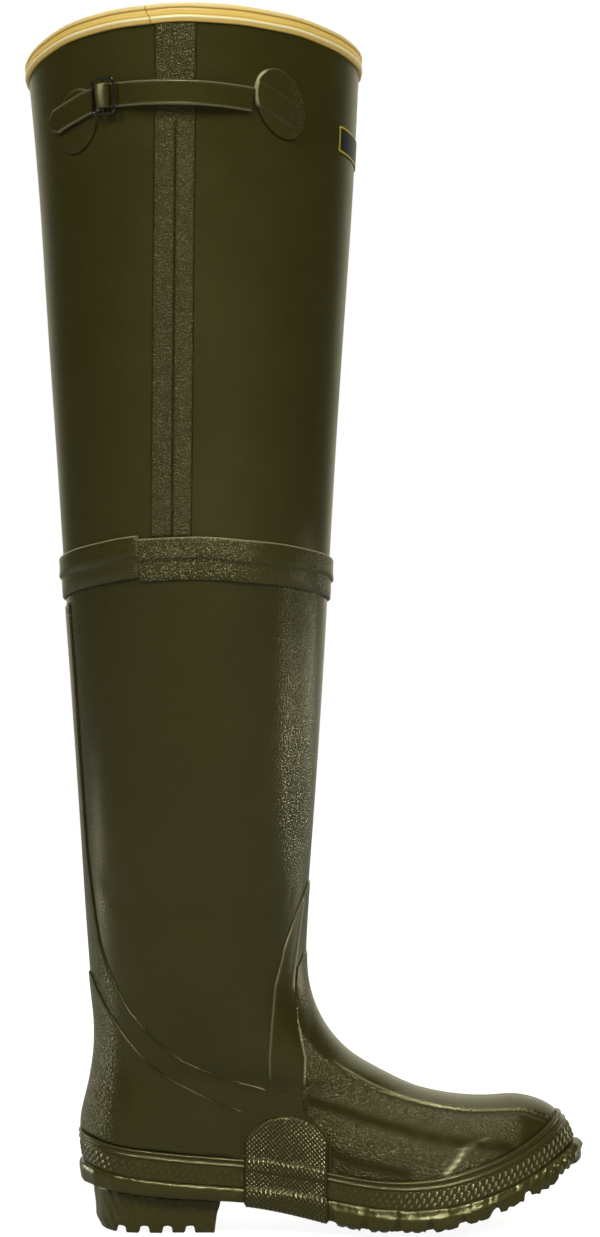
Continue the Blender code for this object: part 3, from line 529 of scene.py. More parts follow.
upper_top = leg_level(KNEE_HEIGHT - JOINT_GAP)
upper_out = [*np.linspace(0, LEVEL["shin_low"], 84), *np.linspace(LEVEL["shin_low"], upper_top, 80)[1:]]
upper_in = np.linspace(0, upper_top, 32)
upper_profile, upper_lined = walls(upper_out, upper_in, UPPER_WALL)
SHIN_WRINKLES = (
    ((13.55, 143.0), (13.3, 138.5), (12.95, 134.5), 2.2, -0.35),
    ((13.75, 144.5), (13.45, 141.0), (13.2, 138.0), 1.6, 0.3),
    ((13.2, 20.0), (12.8, 45.0), (12.7, 75.0), 9.0, -0.9),
    ((12.7, 75.0), (12.85, 105.0), (13.1, 124.0), 9.0, -0.7),
)
VAMP_EDGE = (
    (2.06, 162.5), (3.2, 162.0), (4.0, 160.0), (4.6, 153.5), (4.95, 149.0), (5.4, 144.5), (6.4, 143.0),
    (8.86, 143.6), (9.98, 139.6), (11.12, 137.9), (11.65, 138.6), (12.0, 142.5),
)
VAMP_SINK = 2.1
GLOW_X = 140.0
GLOW_FROM = 200.0


def upper_relief(angle, level, row):
    """Soft creases of the ankle and shin, on the outer face of the wall, and the seat of the vamp."""
    base = form(angle, level)
    x = base[:, 0]
    outside = upper_lined[row] < 0.5
    covered = soft_step((x - reach_at(VAMP_EDGE, level) - 1.5) / 4)
    covered = covered * soft_step((level - 2.1) / 0.2) * soft_step(11.5 - level)
    lift = np.where(outside, -VAMP_SINK * covered, 0.0)
    for *line, width, height in SHIN_WRINKLES:
        lift[outside] += crease(base[outside], drawn(line), width, height)
    shin_glow = bell((x - GLOW_X) / 10) * soft_step((base[:, 2] - GLOW_FROM) / 80)
    return lift, {"grain": 0.5 * shin_glow}


upper = ring(200, upper_profile, upper_relief, upper_lined)
finish_piece("upper_skin", upper, "boot_rubber", ["upper"], boot_rubber, lining)

# Thigh shaft
# A lighter tube of rubberised cloth, lapped on the boot at the knee and open at the collar.
THIGH_WALL = 1.6
RIM_HEIGHT = 756.0
thigh_rubber = olive_rubber("thigh_rubber", 0.36, grain=0.05)
thigh_out = leg_level(np.linspace(KNEE_HEIGHT + JOINT_GAP, RIM_HEIGHT, 70))
thigh_in = leg_level(np.linspace(KNEE_HEIGHT + JOINT_GAP, RIM_HEIGHT, 26))
thigh_profile, thigh_lined = walls(thigh_out, thigh_in, THIGH_WALL)
thigh = ring(200, thigh_profile, None, thigh_lined)
finish_piece("thigh_tube", thigh, "thigh_rubber", ["thigh_shaft"], thigh_rubber, lining)

# Heel quarter and counter
# Two thin rubber sheets rolled on over the upper: a backstay that widens over the quarter, and a
# counter round the heel on top of it. Their edges show as fine steps.
QUARTER_EDGE = (
    (2.06, 103.5), (3.0, 104.5), (4.2, 109.0), (4.9, 115.0), (5.4, 120.5), (6.82, 121.3), (7.21, 103.5),
    (7.66, 87.5), (8.35, 68.2), (9.39, 49.4), (10.41, 33.2), (11.5, 21.3), (12.32, 13.9),
    (13.74, 5.4), (16.72, -6.2),
)
COUNTER_EDGE = (
    (2.06, 103.0), (3.0, 104.0), (4.9, 106.2), (5.75, 84.4), (6.96, 61.9),
    (8.08, 45.9), (9.19, 33.0), (10.41, 19.6), (11.5, 8.4),
)
SHEET_GAP = 0.16
QUARTER_THICK = 1.1
COUNTER_GAP = 0.24
COUNTER_THICK = 0.9
STEP_WIDTH = 1.3
UNDER_SINK = 0.1


def overlay(edge, centre, seat, thick, skive, half_columns, rows, relief, crowding=1.8):
    """A sheet on the upper, the same on both sides, that thins to its edge. The edge holds
    (level, x): how far it reaches from the middle of the back, centre 0, or of the front, pi.
    Where it is skived it thins out slowly and its edge does not show."""
    middle_levels = np.linspace(edge[0][0], edge[-1][0], 400)
    run = run_along(form(np.full(400, centre), middle_levels))
    levels = np.interp(np.linspace(0, run[-1], rows + 1), run, middle_levels)
    limits = np.abs(angle_at(reach_at(edge, levels), levels) - centre)
    inward = np.linspace(0, 1, half_columns + 1) ** crowding
    top = np.concatenate([inward - 1, (1 - inward[::-1])[1:]])
    skip = half_columns // 16
    turns = np.concatenate([top, top[::-1][skip::skip]])
    outline = [form(centre + side * limits, levels) for side in (1, -1)]
    for end in (0, -1):
        outline.append(form(centre + np.linspace(-1, 1, 30) * limits[end], np.full(30, levels[end])))

    def place(column, row):
        angle = centre + turns[column] * limits[row]
        level = levels[row]
        base = form(angle, level)
        near = np.min([distance_to(base, line) for line in outline], axis=0)
        step = soft_step(near / STEP_WIDTH)
        rise = thick * (soft_step(near / STEP_WIDTH + 0.25) - soft_step(0.25)) * skive(level, base[:, 0])
        extra, marks = relief(base, angle, level, near)
        lift = np.where(column <= 2 * half_columns, rise + extra * step, -UNDER_SINK * step)
        lift = seat(level, base[:, 0]) + np.where(near < 1e-6, 0, lift)
        return skin(angle, level, lift), marks

    return laid(len(turns) - 1, rows, place)


def on_upper(level, x):
    """A sheet that lies on the upper."""
    return SHEET_GAP


def skived(edge, top, reach):
    """Thickness of a sheet as a share: below a level it thins out over a reach to its end."""
    def share(level, x):
        end = 1 - soft_step(np.abs(x - reach_at(edge, level)) / reach)
        return 1 - 0.95 * end * soft_step((top - level) / 0.5)

    return share


quarter_skive = skived(QUARTER_EDGE, 6.9, 32.0)
counter_skive = skived(COUNTER_EDGE, 5.2, 32.0)


def on_quarter(level, x):
    """A sheet that lies on the quarter."""
    return COUNTER_GAP + QUARTER_THICK * quarter_skive(level, x)


def back_grain(base, angle, level, near):
    """No relief; the back of the heel is grained, and the sheet's edge is darkened with painted shade and
    dulled in stretches.
    """
    x = base[:, 0]
    shows = (x < 100) | (level > 6.7)
    # Painted shade along the sheet's edge, in stretches.
    dull_shade = (0.62 + 0.38 * np.sin(x / 6.5)) * bell(near / 1.6) * shows
    return 0.0, {"grain": 0.6 * soft_step((34 - x) / 22), "matte_shade": dull_shade}


quarter = overlay(QUARTER_EDGE, 0.0, on_upper, QUARTER_THICK, quarter_skive, 48, 200, back_grain)
finish_piece("heel_quarter_sheet", quarter, "boot_rubber", ["heel_quarter"], boot_rubber)
counter = overlay(COUNTER_EDGE, 0.0, on_quarter, COUNTER_THICK, counter_skive, 48, 130, back_grain)
finish_piece("heel_counter_sheet", counter, "boot_rubber", ["heel_counter"], boot_rubber)

# Shin gusset and vamp
# The gusset is a pointed sheet over the bend of the ankle. The vamp covers the forefoot over it,
# with a raised strip along the top of the foot, moulded troughs at its sides and a walking crease.
GUSSET_EDGE = (
    (6.75, 121.9), (8.85, 121.3), (10.03, 122.7), (11.19, 124.9), (12.15, 130.8),
    (12.35, 133.0), (12.65, 136.8), (12.88, 139.7), (13.29, 146.5),
)
GUSSET_THICK = 1.0
VAMP_THICK = 0.6
GUSSET_PIPING = ((12.99, 143.1), (12.48, 140.4), (11.65, 137.4), (11.12, 136.6))


def gusset_relief(base, angle, level, near):
    """A raised line beside the gusset's point, with a painted highlight on it and along the sheet's rim."""
    line = sum(crease(base, drawn(GUSSET_PIPING, side), 1.0, 1.0) for side in (1, -1))
    rim = bell((near - 0.9) / 0.7) * soft_step((level - 7.4) / 0.6)
    # Painted highlight on the piping line and the rim.
    bloom_and_highlight = np.clip(0.4 * line + 0.12 * rim, 0, 1)
    return 0.8 * line, {"grain": np.full(len(level), 0.05), "bloom_and_highlight": bloom_and_highlight}


def gusset_skive(level, x):
    """The gusset thins out toward its lower end."""
    return 0.1 + 0.9 * soft_step((level - 6.9) / 1.2)


gusset = overlay(GUSSET_EDGE, np.pi, on_upper, GUSSET_THICK, gusset_skive, 64, 140, gusset_relief)
finish_piece("shin_gusset_sheet", gusset, "boot_rubber", ["shin_gusset"], boot_rubber)

STRIP_EDGE = (
    (8.7, 144.5), (8.2, 143.4), (7.5, 143.2), (6.7, 143.6), (5.9, 144.4), (5.1, 147.2), (4.4, 151.2),
    (3.7, 158.6), (3.1, 162.5), (2.2, 166.0),
)
STRIP_RISE = 0.8
STRIP_SOFT = 1.2
VAMP_TROUGH = (
    (6.13, 102.8), (5.66, 108.8), (5.07, 113.9), (4.54, 119.9), (3.9, 125.4), (3.35, 131.4),
    (2.81, 138.2), (2.31, 142.9),
)
LOW_TROUGH = ((3.3, 95.6), (2.94, 97.3), (2.8, 100.3), (2.67, 105.8), (2.4, 112.0))
WALK_CREASE = ((2.18, 122.0), (2.48, 125.4), (2.82, 129.2), (3.02, 131.8), (3.05, 136.0))


def at_angles(points):
    """Listed (level, angle) points as (level, place along the foot)."""
    return [(level, form(math.radians(angle), level)[0]) for level, angle in points]


def on_gusset(level, x):
    """The vamp lies on the upper in front, and over the gusset at the ankle."""
    return np.interp(level, [6.9, 7.8], [SHEET_GAP, SHEET_GAP + GUSSET_THICK])


def vamp_relief(base, angle, level, near):
    """Raised strip, moulded troughs and walking crease of the vamp, with painted highlights on the strip's
    edge, the crease and the ankle bead, and painted shade in the troughs.
    """
    from_middle = np.abs(angle - np.pi)
    strip_half = np.pi - np.radians(reach_at(STRIP_EDGE[::-1], level))
    lift = np.zeros(len(level))
    grain = np.full(len(level), 0.05)
    bloom_and_highlight = np.zeros(len(level))
    matte_shade = np.zeros(len(level))
    from_edge = soft_step((near - 1) / 14)
    for side in (1, -1):
        edge = drawn(at_angles(STRIP_EDGE), side, 120)
        apart = distance_to(base, edge)
        own = np.sign(np.pi - angle) == side
        inner = np.where(from_middle < strip_half, apart, -apart)
        fade = soft_step((9.0 - level) / 1.0)
        rise = STRIP_RISE * soft_step(inner / STRIP_SOFT + 0.5)
        bead = 0.25 * bell((inner - 0.6) / 0.7) - 0.5 * bell((inner + 1.8) / 1.4)
        lift[own] += (fade * (rise + bead))[own]
        # Painted highlight along the strip's edge.
        bloom_and_highlight[own] += (0.22 * fade * bell((inner - 0.4) / 0.5))[own]
        trough = drawn(at_angles(VAMP_TROUGH), side)
        low = drawn(at_angles(LOW_TROUGH), side)
        lift += (crease(base, trough, 5.5, -1.7) + crease(base, low, 4.0, -0.6)) * from_edge
        # The troughs are darkened with painted shade and dulled.
        matte_shade += crease(base, trough, 5.5, 1.0) + crease(base, low, 4.5, 0.9)
        grain -= crease(base, trough, 4.5, 0.9) + crease(base, low, 3.5, 0.6)
    fold = drawn(at_angles(WALK_CREASE))
    lift += crease(base, fold, 1.5, 1.1) + crease(base, fold + np.array([3.5, 0, 0]), 2.0, -0.3)
    # The walking crease is painted pale: stress bloom with a painted highlight.
    bloom_and_highlight += crease(base, fold, 1.6, 0.9) * (0.7 + 0.3 * np.sin(base[:, 2] * 1.7))
    ankle_edge = soft_step((level - 7.2) / 0.4) * soft_step((10.1 - level) / 0.4)
    bead = ankle_edge * bell((near - 0.9) / 0.6)
    lift += 0.5 * bead
    # Painted highlight on the bead at the ankle edge.
    bloom_and_highlight += 0.3 * bead
    side_face = soft_step((from_middle - strip_half) / 0.12)
    grain += 0.85 * side_face * soft_step((287 - base[:, 0]) / 14)
    marks = {"grain": grain, "bloom_and_highlight": bloom_and_highlight, "matte_shade": matte_shade}
    return lift, {name: np.clip(amount, 0, 1) for name, amount in marks.items()}


vamp_skive = skived(VAMP_EDGE, 7.6, 16.0)
vamp = overlay(VAMP_EDGE, np.pi, on_gusset, VAMP_THICK, vamp_skive, 112, 300, vamp_relief, 1.25)
finish_piece("vamp_sheet", vamp, "boot_rubber", ["vamp_overlay"], boot_rubber)

# Foxing
# A calendered rubber band rolled round the foot over the edge of the upper, with a double bead on
# its upper edge and slanted dashes pressed into its face, deeper toward the toe.
FOXING_THICK = 2.4
BEAD_RISE = 0.8
BEAD_LEVELS = (1.5, 1.9)
BEAD_HALF = 0.1
DASH_PITCH = 4.7
DASH_ROW = 3.8
DASH_HEIGHT = 1.0
DASH_LEAN = math.radians(55)
LEVEL_RISE = 9.4
foxing_rubber = olive_rubber("foxing_rubber", 0.30, grain=0.12, grain_size=1.4)
foxing_out = np.linspace(0, 2, 60)
foxing_in = np.linspace(0, 2, 4)[::-1]
foxing_profile = [(level, FOXING_THICK) for level in foxing_out] + [(level, 0.1) for level in foxing_in]
FOXING_COLUMNS = 1250
loop_angles = np.linspace(0, 2 * np.pi, FOXING_COLUMNS + 1)
loop_run = run_along(form(loop_angles, np.ones(FOXING_COLUMNS + 1)))


def foxing_relief(angle, level, row):
    """Double bead and pressed dashes of the band's face, the dash crests painted pale with some wear and a
    painted highlight.
    """
    face = row < len(foxing_out)
    lift = np.zeros(len(angle))
    for bead in BEAD_LEVELS:
        lift += BEAD_RISE * np.sqrt(np.clip(1 - ((level - bead) / BEAD_HALF) ** 2, 0, 1))
    run = np.interp(np.mod(angle, 2 * np.pi), loop_angles, loop_run)
    up = level * LEVEL_RISE
    rank = np.floor(up / DASH_ROW)
    u = np.mod(run / DASH_PITCH + 0.1 * rank, 1) - 0.5
    v = np.mod(up / DASH_ROW, 1) - 0.5
    lean = u * DASH_PITCH * math.sin(DASH_LEAN) - v * DASH_ROW * math.cos(DASH_LEAN)
    length = u * DASH_PITCH * math.cos(DASH_LEAN) + v * DASH_ROW * math.sin(DASH_LEAN)
    dash = np.exp(-((lean / 0.6) ** 2) - (length / 2.0) ** 4)
    x = form(angle, level)[:, 0]
    depth = 0.25 + 0.35 * soft_step((60 - x) / 50) + 0.75 * soft_step((x - 170) / 80)
    body = soft_step((level - 0.12) / 0.1) * soft_step((1.34 - level) / 0.1)
    lift += DASH_HEIGHT * dash * depth * body
    # Painted highlight on the dash crests, with some wear.
    wear_and_highlight = (0.15 + 0.4 * soft_step((x - 170) / 60)) * dash**3 * depth * body
    return lift * face, {"grain": 0.15 * face, "bloom_and_highlight": wear_and_highlight * face}


foxing = ring(FOXING_COLUMNS, foxing_profile, foxing_relief)
finish_piece("foxing_band", foxing, "foxing_rubber", ["foxing"], foxing_rubber)

# Outsole and heel
# Moulded hard rubber: a plate with a rolled lip, cleats that wrap up the side of the forefoot, and
# a notched heel block. All edges are rounded by the mould.
sole_rubber = olive_rubber("sole_rubber", 0.32, 1.12, grain=0.15, grain_size=1.6)


def moulded(name, solid, voxel, rounds, relief):
    """A copy of a solid with its edges rounded, as from a mould."""
    mesh = bmesh.new()
    mesh.from_mesh(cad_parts[solid].data)
    bmesh.ops.remove_doubles(mesh, verts=mesh.verts, dist=1e-6)
    block_data = bpy.data.meshes.new(solid + "_block")
    mesh.to_mesh(block_data)
    mesh.free()
    block = bpy.data.objects.new(solid + "_block", block_data)
    bpy.context.scene.collection.objects.link(block)
    cells = block.modifiers.new("cells", "REMESH")
    cells.mode = "VOXEL"
    cells.voxel_size = voxel * MM
    ease = block.modifiers.new("ease", "SMOOTH")
    ease.factor = 0.5
    ease.iterations = rounds
    graph = bpy.context.evaluated_depsgraph_get()
    rounded = bmesh.new()
    rounded.from_mesh(block.evaluated_get(graph).to_mesh())
    bpy.data.objects.remove(block, do_unlink=True)
    points = np.array([vertex.co for vertex in rounded.verts]) / MM - LAST_PLACE
    rounded.normal_update()
    outward = np.array([vertex.normal for vertex in rounded.verts])
    moved = (points + outward * relief(points, outward)[:, None] + LAST_PLACE) * MM
    for vertex, point in zip(rounded.verts, moved):
        vertex.co = point
    finish_piece(name, rounded, "sole_rubber", [solid], sole_rubber)


LUMP_PITCH = 7.0
KNOB_FROM = 284.0
FIRST_DENT = 164.0


def side_wall(outward, least):
    """Share of a face that stands upright."""
    return soft_step((np.hypot(outward[:, 0], outward[:, 1]) - least) / 0.3)


def sole_relief(points, outward):
    """Wavy lip, ribbed cleat ends and the knobs of the toe, as the mould left them."""
    x, _, z = points.T
    run = 2 * np.pi * np.interp(angle_at(x, np.zeros(len(x))), loop_angles, loop_run)
    below = sole["seat"](x) - z
    wall = side_wall(outward, 0.35)
    fore = soft_step((x - 155) / 15)
    wave = 0.3 * np.sin(run / 17.0) + 0.22 * np.sin(run / 10.3 + 1.3)
    wave = wave + 0.2 * np.sin(run / 4.6 + 2.1) * np.sin(run / 31.0)
    lip = wall * bell((below - 2.0) / 2.6) * (0.3 + 0.7 * fore)
    rib = 0.45 * np.sin(run / LUMP_PITCH + 0.8) + 0.25 * np.sin(run / 4.4)
    low = wall * fore * soft_step((below - 8) / 6)
    knob = 2.4 * bell((below - 10) / 6.0) + 0.9 * np.sin(run / 8.0) * np.sin(below / 1.6)
    toe = wall * soft_step((x - KNOB_FROM) / 26)
    tread = soft_step((-outward[:, 2] - 0.5) / 0.3) * fore
    dent = 0.5 + 0.5 * np.cos(2 * np.pi * (x - FIRST_DENT) / LUMP_PITCH)
    return wave * lip + rib * low + knob * toe - dent**3 * tread


def heel_relief(points, outward):
    """Slight waves on the heel's side."""
    x, _, z = points.T
    return side_wall(outward, 0.5) * (0.2 * np.sin(x / 1.9) + 0.15 * np.sin(x / 0.9 + z / 2.0))


moulded("outsole_plate", "outsole", 1.05, 10, sole_relief)
moulded("heel_block", "heel", 0.95, 4, heel_relief)

# Insole
# A plain felt sheet on the sole inside the boot.
INSOLE_INSET = 3.3
INSOLE_TOP = 3.0
INSOLE_COLUMNS = 70
INSOLE_TOP_ROWS = 24
INSOLE_UNDER_ROWS = 8
felt = knit_lining("insole_felt", (0.12, 0.11, 0.085), 1.1)


def there_and_back(over, under):
    """Shares from -1 to 1 over a sheet's top, then back to -1 underneath it."""
    return np.concatenate([np.linspace(-1, 1, over + 1), np.linspace(1, -1, under + 1)[1:]])


def insole_place(column, row):
    """The sheet's top, cupped a little at its rim, then its underside."""
    angle = np.pi * column / INSOLE_COLUMNS
    share = there_and_back(INSOLE_TOP_ROWS, INSOLE_UNDER_ROWS)[row]
    near, far = (skin(side * angle, 0.0, -INSOLE_INSET) for side in (1, -1))
    points = near * (1 - share[:, None]) / 2 + far * (1 + share[:, None]) / 2
    seat = sole["seat"](HEEL_X + (1 - np.cos(angle)) / 2 * (TOE_X - HEEL_X))
    edge = np.abs(share) > 0.999
    points[:, 2] = seat + np.where(edge, 1.2, np.where(row <= INSOLE_TOP_ROWS, INSOLE_TOP, 0.2))
    return points, {}


insole = laid(INSOLE_COLUMNS, INSOLE_TOP_ROWS + INSOLE_UNDER_ROWS, insole_place)
finish_piece("insole_sheet", insole, "insole_felt", ["insole"], felt)

# Shank wrap
# A cross-hatched rubber strap rolled on under the arch and up both sides, over the foxing and the
# sole's edge, which show through it as soft steps.
WRAP_MIDDLE = 133.0
WRAP_HALF = 27.0
WRAP_SHOULDER = 55.5
WRAP_TOP = 76.0
WRAP_GAP = 0.7
WRAP_THICK = 1.7
LIP_BULGE = 5.0
LIP_LOW = 3.6
LIP_DROP = 4.5
HATCH_PITCH = 3.0
HATCH_HEIGHT = 0.75
WRAP_COLUMNS = 130
WRAP_ROWS = 330
WRAP_EASES = 6
WRAP_EDGE = 1.4
wrap_rubber = olive_rubber("wrap_rubber", 0.30, 0.8, grain=0.05)


def wrap_side(x, side):
    """The path of the wrap at a place along the foot, from its top edge down to the sole."""
    rise = math.sqrt(max(0.0, 1 - ((x - WRAP_MIDDLE) / WRAP_HALF) ** 2))
    top = WRAP_SHOULDER + (WRAP_TOP - WRAP_SHOULDER) * rise
    levels = np.linspace(2, 8, 200)
    top_level = np.interp(top, form(angle_at(x, levels), levels)[:, 2], levels)
    bead = FOXING_THICK + BEAD_RISE
    rows = [
        *((level, WRAP_GAP) for level in np.linspace(top_level, 2.16, 12)),
        (2.02, bead + WRAP_GAP), (1.38, bead + WRAP_GAP), (1.25, FOXING_THICK + WRAP_GAP),
        (0.75, FOXING_THICK + WRAP_GAP), (0.1, FOXING_THICK + WRAP_GAP),
    ]
    levels, offsets = np.array(rows).T
    points = list(skin(side * angle_at(x, levels), levels, offsets))
    seat = float(sole["seat"](x))
    lower = (
        (LIP_BULGE + WRAP_GAP, seat - 1.2), (LIP_BULGE + WRAP_GAP, seat - LIP_DROP),
        (LIP_LOW + WRAP_GAP, float(sole["under"](x)) - WRAP_GAP),
    )
    for offset, height in lower:
        point = skin(side * angle_at(x, 0.0), 0.0, offset)
        points.append(np.array([x, point[1], height]))
    return points


wrap_share = np.linspace(-1, 1, WRAP_COLUMNS + 1)
wrap_x = WRAP_MIDDLE + WRAP_HALF * (0.6 * wrap_share + 0.4 * np.sin(wrap_share * np.pi / 2))
wrap_lines = []
wrap_rises = []
for station in wrap_x:
    path = np.array(wrap_side(station, 1) + wrap_side(station, -1)[::-1])
    run = run_along(path)
    under_sole = run[len(path) // 2 - 1], run[len(path) // 2]
    spots = np.interp(np.linspace(0, 1, WRAP_ROWS + 1), [0, 0.44, 0.56, 1], [0, *under_sole, run[-1]])
    wrap_rises.append(spots - under_sole[0])
    wrap_lines.append(np.stack([np.interp(spots, run, path[:, axis]) for axis in range(3)], axis=1))
wrap_form = np.array(wrap_lines)
wrap_rise = np.array(wrap_rises)
for _ in range(WRAP_EASES):
    wrap_form[:, 1:-1] = (wrap_form[:, :-2] + 2 * wrap_form[:, 1:-1] + wrap_form[:, 2:]) / 4
wrap_out = np.cross(np.gradient(wrap_form, axis=1), np.gradient(wrap_form, axis=0))
wrap_out /= np.maximum(np.linalg.norm(wrap_out, axis=2, keepdims=True), 1e-9)
wrap_run = run_along(wrap_form[WRAP_COLUMNS // 2])
wrap_under = np.linspace(WRAP_COLUMNS, 0, 13).round().astype(int)[1:]
wrap_loop = np.concatenate([np.arange(WRAP_COLUMNS + 1), wrap_under])


def wrap_place(column, row):
    """Hatched outer face of the wrap, rounded at its edges, with painted highlight dots on the hatch's knots,
    then its underside.
    """
    station = wrap_loop[column]
    outer = column <= WRAP_COLUMNS
    points = wrap_form[station, row]
    u = wrap_x[station] / HATCH_PITCH
    v = wrap_rise[station, row] / HATCH_PITCH
    knot = (np.cos(np.pi * (u + v)) ** 2 + np.cos(np.pi * (u - v)) ** 2) / 2
    from_side = WRAP_HALF - np.abs(wrap_x[station] - WRAP_MIDDLE)
    from_end = np.minimum(wrap_run[row], wrap_run[-1] - wrap_run[row])
    edge = soft_step(np.minimum(from_side, from_end) / WRAP_EDGE)
    lift = WRAP_THICK * edge + HATCH_HEIGHT * (knot**2 - 0.4) * edge
    # Painted highlight dots on the hatch's knots.
    bloom_and_highlight = np.where(outer, 0.16 * knot**14 * edge, 0)
    return points + wrap_out[station, row] * np.where(outer, lift, 0)[:, None], {"bloom_and_highlight": bloom_and_highlight}


def capped(mesh):
    """Close the open ends of a strip."""
    rims = [edge for edge in mesh.edges if edge.is_boundary]
    bmesh.ops.holes_fill(mesh, edges=rims, sides=0)
    return mesh


wrap = capped(laid(len(wrap_loop) - 1, WRAP_ROWS, wrap_place))
finish_piece("shank_wrap_hatched", wrap, "foxing_rubber", ["shank_wrap"], wrap_rubber)

# Knee band
# A grained rubber tape over the lap of thigh and boot, in two steps; its end laps over its start
# on the outer side, a little higher.
BAND_HALF = 13.0
BAND_LAP_X = 41.0
BAND_COLUMNS = 480
BAND_RADIUS = 82.0
BAND_LAP_REACH = 55.0
# The band's grain carries strong painted glints.
band_rubber = olive_rubber("band_rubber", 0.34, grain=0.1, grain_size=1.1, depth=0.9, painted_glint=0.4)
band_low = KNEE_HEIGHT - BAND_HALF
band_high = KNEE_HEIGHT + BAND_HALF
BAND_CORNERS = (
    (band_low, 0.15), (band_low, 1.2), (band_low + 0.8, 1.9), (band_low + 6, 2.0), (KNEE_HEIGHT - 2.2, 1.8),
    (KNEE_HEIGHT - 0.9, 1.9), (KNEE_HEIGHT - 0.2, 2.9), (KNEE_HEIGHT + 0.6, 3.3), (KNEE_HEIGHT + 4, 2.9),
    (band_high - 4, 2.6), (band_high - 1.2, 2.7), (band_high - 0.3, 2.2), (band_high, 1.4), (band_high, 0.15),
)
band_lap = float(angle_at(BAND_LAP_X, leg_level(KNEE_HEIGHT)))


def band_place(column, row):
    """The band's ring, starting at its lap. Its free end lies on top of its start. Its top edge carries a
    painted highlight.
    """
    turn = band_lap - 2 * np.pi * column / BAND_COLUMNS
    corner_height, corner_offset = np.array(BAND_CORNERS)[row % len(BAND_CORNERS)].T
    lap = bell((band_lap - turn) * BAND_RADIUS / BAND_LAP_REACH)
    on_face = soft_step((corner_offset - 0.2) / 0.9)
    sway = 0.5 * np.sin(5 * turn + 0.6) + 0.35 * np.sin(11 * turn + 2.0)
    step = bell((corner_height - KNEE_HEIGHT) / 3.0)
    height = corner_height + 2.4 * lap + sway * (0.4 + step)
    offset = corner_offset + 0.7 * lap * on_face + 0.25 * np.sin(7 * turn) * on_face
    x = form(turn, leg_level(height))[:, 0]
    # Grained stretches, which also carry painted glints.
    grained = soft_step((x - 36) / 8) * soft_step((132 - x) / 60) + bell((x - 152) / 6)
    # Painted highlight along the band's top edge.
    wear_and_highlight = 0.3 * (corner_height > band_high - 0.5) * on_face
    return skin(turn, leg_level(height), offset), {"grain": 0.9 * np.clip(grained, 0, 1), "bloom_and_highlight": wear_and_highlight}


band = capped(laid(BAND_COLUMNS, len(BAND_CORNERS), band_place))
finish_piece("knee_tape", band, "trim_rubber", ["knee_band"], band_rubber)

# Side tape
# Two grained tapes side by side over the seam of the thigh, with a groove where they meet.
TAPE_HALF = 13.0
TAPE_THICK = 1.1
TAPE_COLUMNS = 40
TAPE_UNDER_COLUMNS = 6
TAPE_ROWS = 160
SEAM_X = (61.0, 64.8)
GROOVE_END = RIM_HEIGHT - 60
# The tape's grain carries painted glints.
tape_rubber = olive_rubber(
    "tape_rubber", 0.30, 0.9, grain=0.8, grain_size=1.1, depth=0.8, painted_glint=0.16, dull_shaded=True,
)
tape_low = KNEE_HEIGHT + BAND_HALF + 0.4
tape_high = RIM_HEIGHT - 10.4


def tape_place(column, row):
    """Outer face of the tape with its middle groove, darkened with painted shade and dulled, then its
    underside.
    """
    across = TAPE_HALF * there_and_back(TAPE_COLUMNS, TAPE_UNDER_COLUMNS)[column]
    outer = column <= TAPE_COLUMNS
    height = tape_low + (tape_high - tape_low) * row / TAPE_ROWS
    level = leg_level(height)
    middle = np.interp(height, [tape_low, tape_high], SEAM_X)
    angle = angle_at(middle + across, level)
    edge = soft_step(TAPE_HALF - np.abs(across))
    groove = bell((across - 0.5) / 0.8) * soft_step((GROOVE_END - height) / 20)
    lift = 0.1 + np.where(outer, TAPE_THICK * edge - 0.8 * groove, 0)
    # The groove is darkened with painted shade and dulled.
    return skin(angle, level, lift), {"matte_shade": np.where(outer, groove, 0)}


tape = capped(laid(TAPE_COLUMNS + TAPE_UNDER_COLUMNS, TAPE_ROWS, tape_place))
finish_piece("side_seam_tape", tape, "trim_rubber", ["side_tape"], tape_rubber)

# Collar binding
# A yellow ribbed rubber tape folded over the rim, its ends lapped on the outer side. A line is
# rolled in near its top, and a rib runs near its lower edge. The rib and the top carry a painted
# highlight, and brown painted shade lies in the rolled line, beside the rib and along the lower edge.
BINDING_LOW = RIM_HEIGHT - 10.0
BINDING_TOP = RIM_HEIGHT + 1.6
BINDING_IN = -THIGH_WALL - 1.5
BINDING_LAP_X = 48.0
BINDING_COLUMNS = 420
BINDING_RADIUS = 104.0
BINDING_LAP_REACH = 30.0
YELLOW = (1.0, 0.80, 0.30)
YELLOW_HIGHLIGHT = (1.0, 1.0, 0.76)
YELLOW_STREAK = (0.82, 0.52, 0.12)
# Brown for painted shade in the rolled lines, and for the dark lap seam.
YELLOW_BROWN = (0.40, 0.19, 0.025)


def binding_yellow():
    """Yellow rubber tape: painted highlight on its rib and top, brown painted shade in its rolled lines, a
    dark lap seam, streaked along its run.
    """
    material = new_material("binding_yellow")
    place = node(material, "TexCoord", output="Object")
    stretched = node(material, "Mapping", {"Vector": place, "Scale": (30.0, 30.0, 900.0)})
    streak = noise(material, stretched, 1.0, 3.0)
    tint = blend(material, streak, YELLOW, YELLOW_STREAK)
    painted_highlight = blend(material, mark(material, "rib"), tint, YELLOW_HIGHLIGHT)
    coat(material, {
        "Base Color": blend(material, mark(material, "line"), painted_highlight, YELLOW_BROWN),
        "Roughness": 0.45,
        "Normal": node(material, "Bump", {"Strength": 0.3, "Distance": 0.0003, "Height": streak}),
    })
    return material


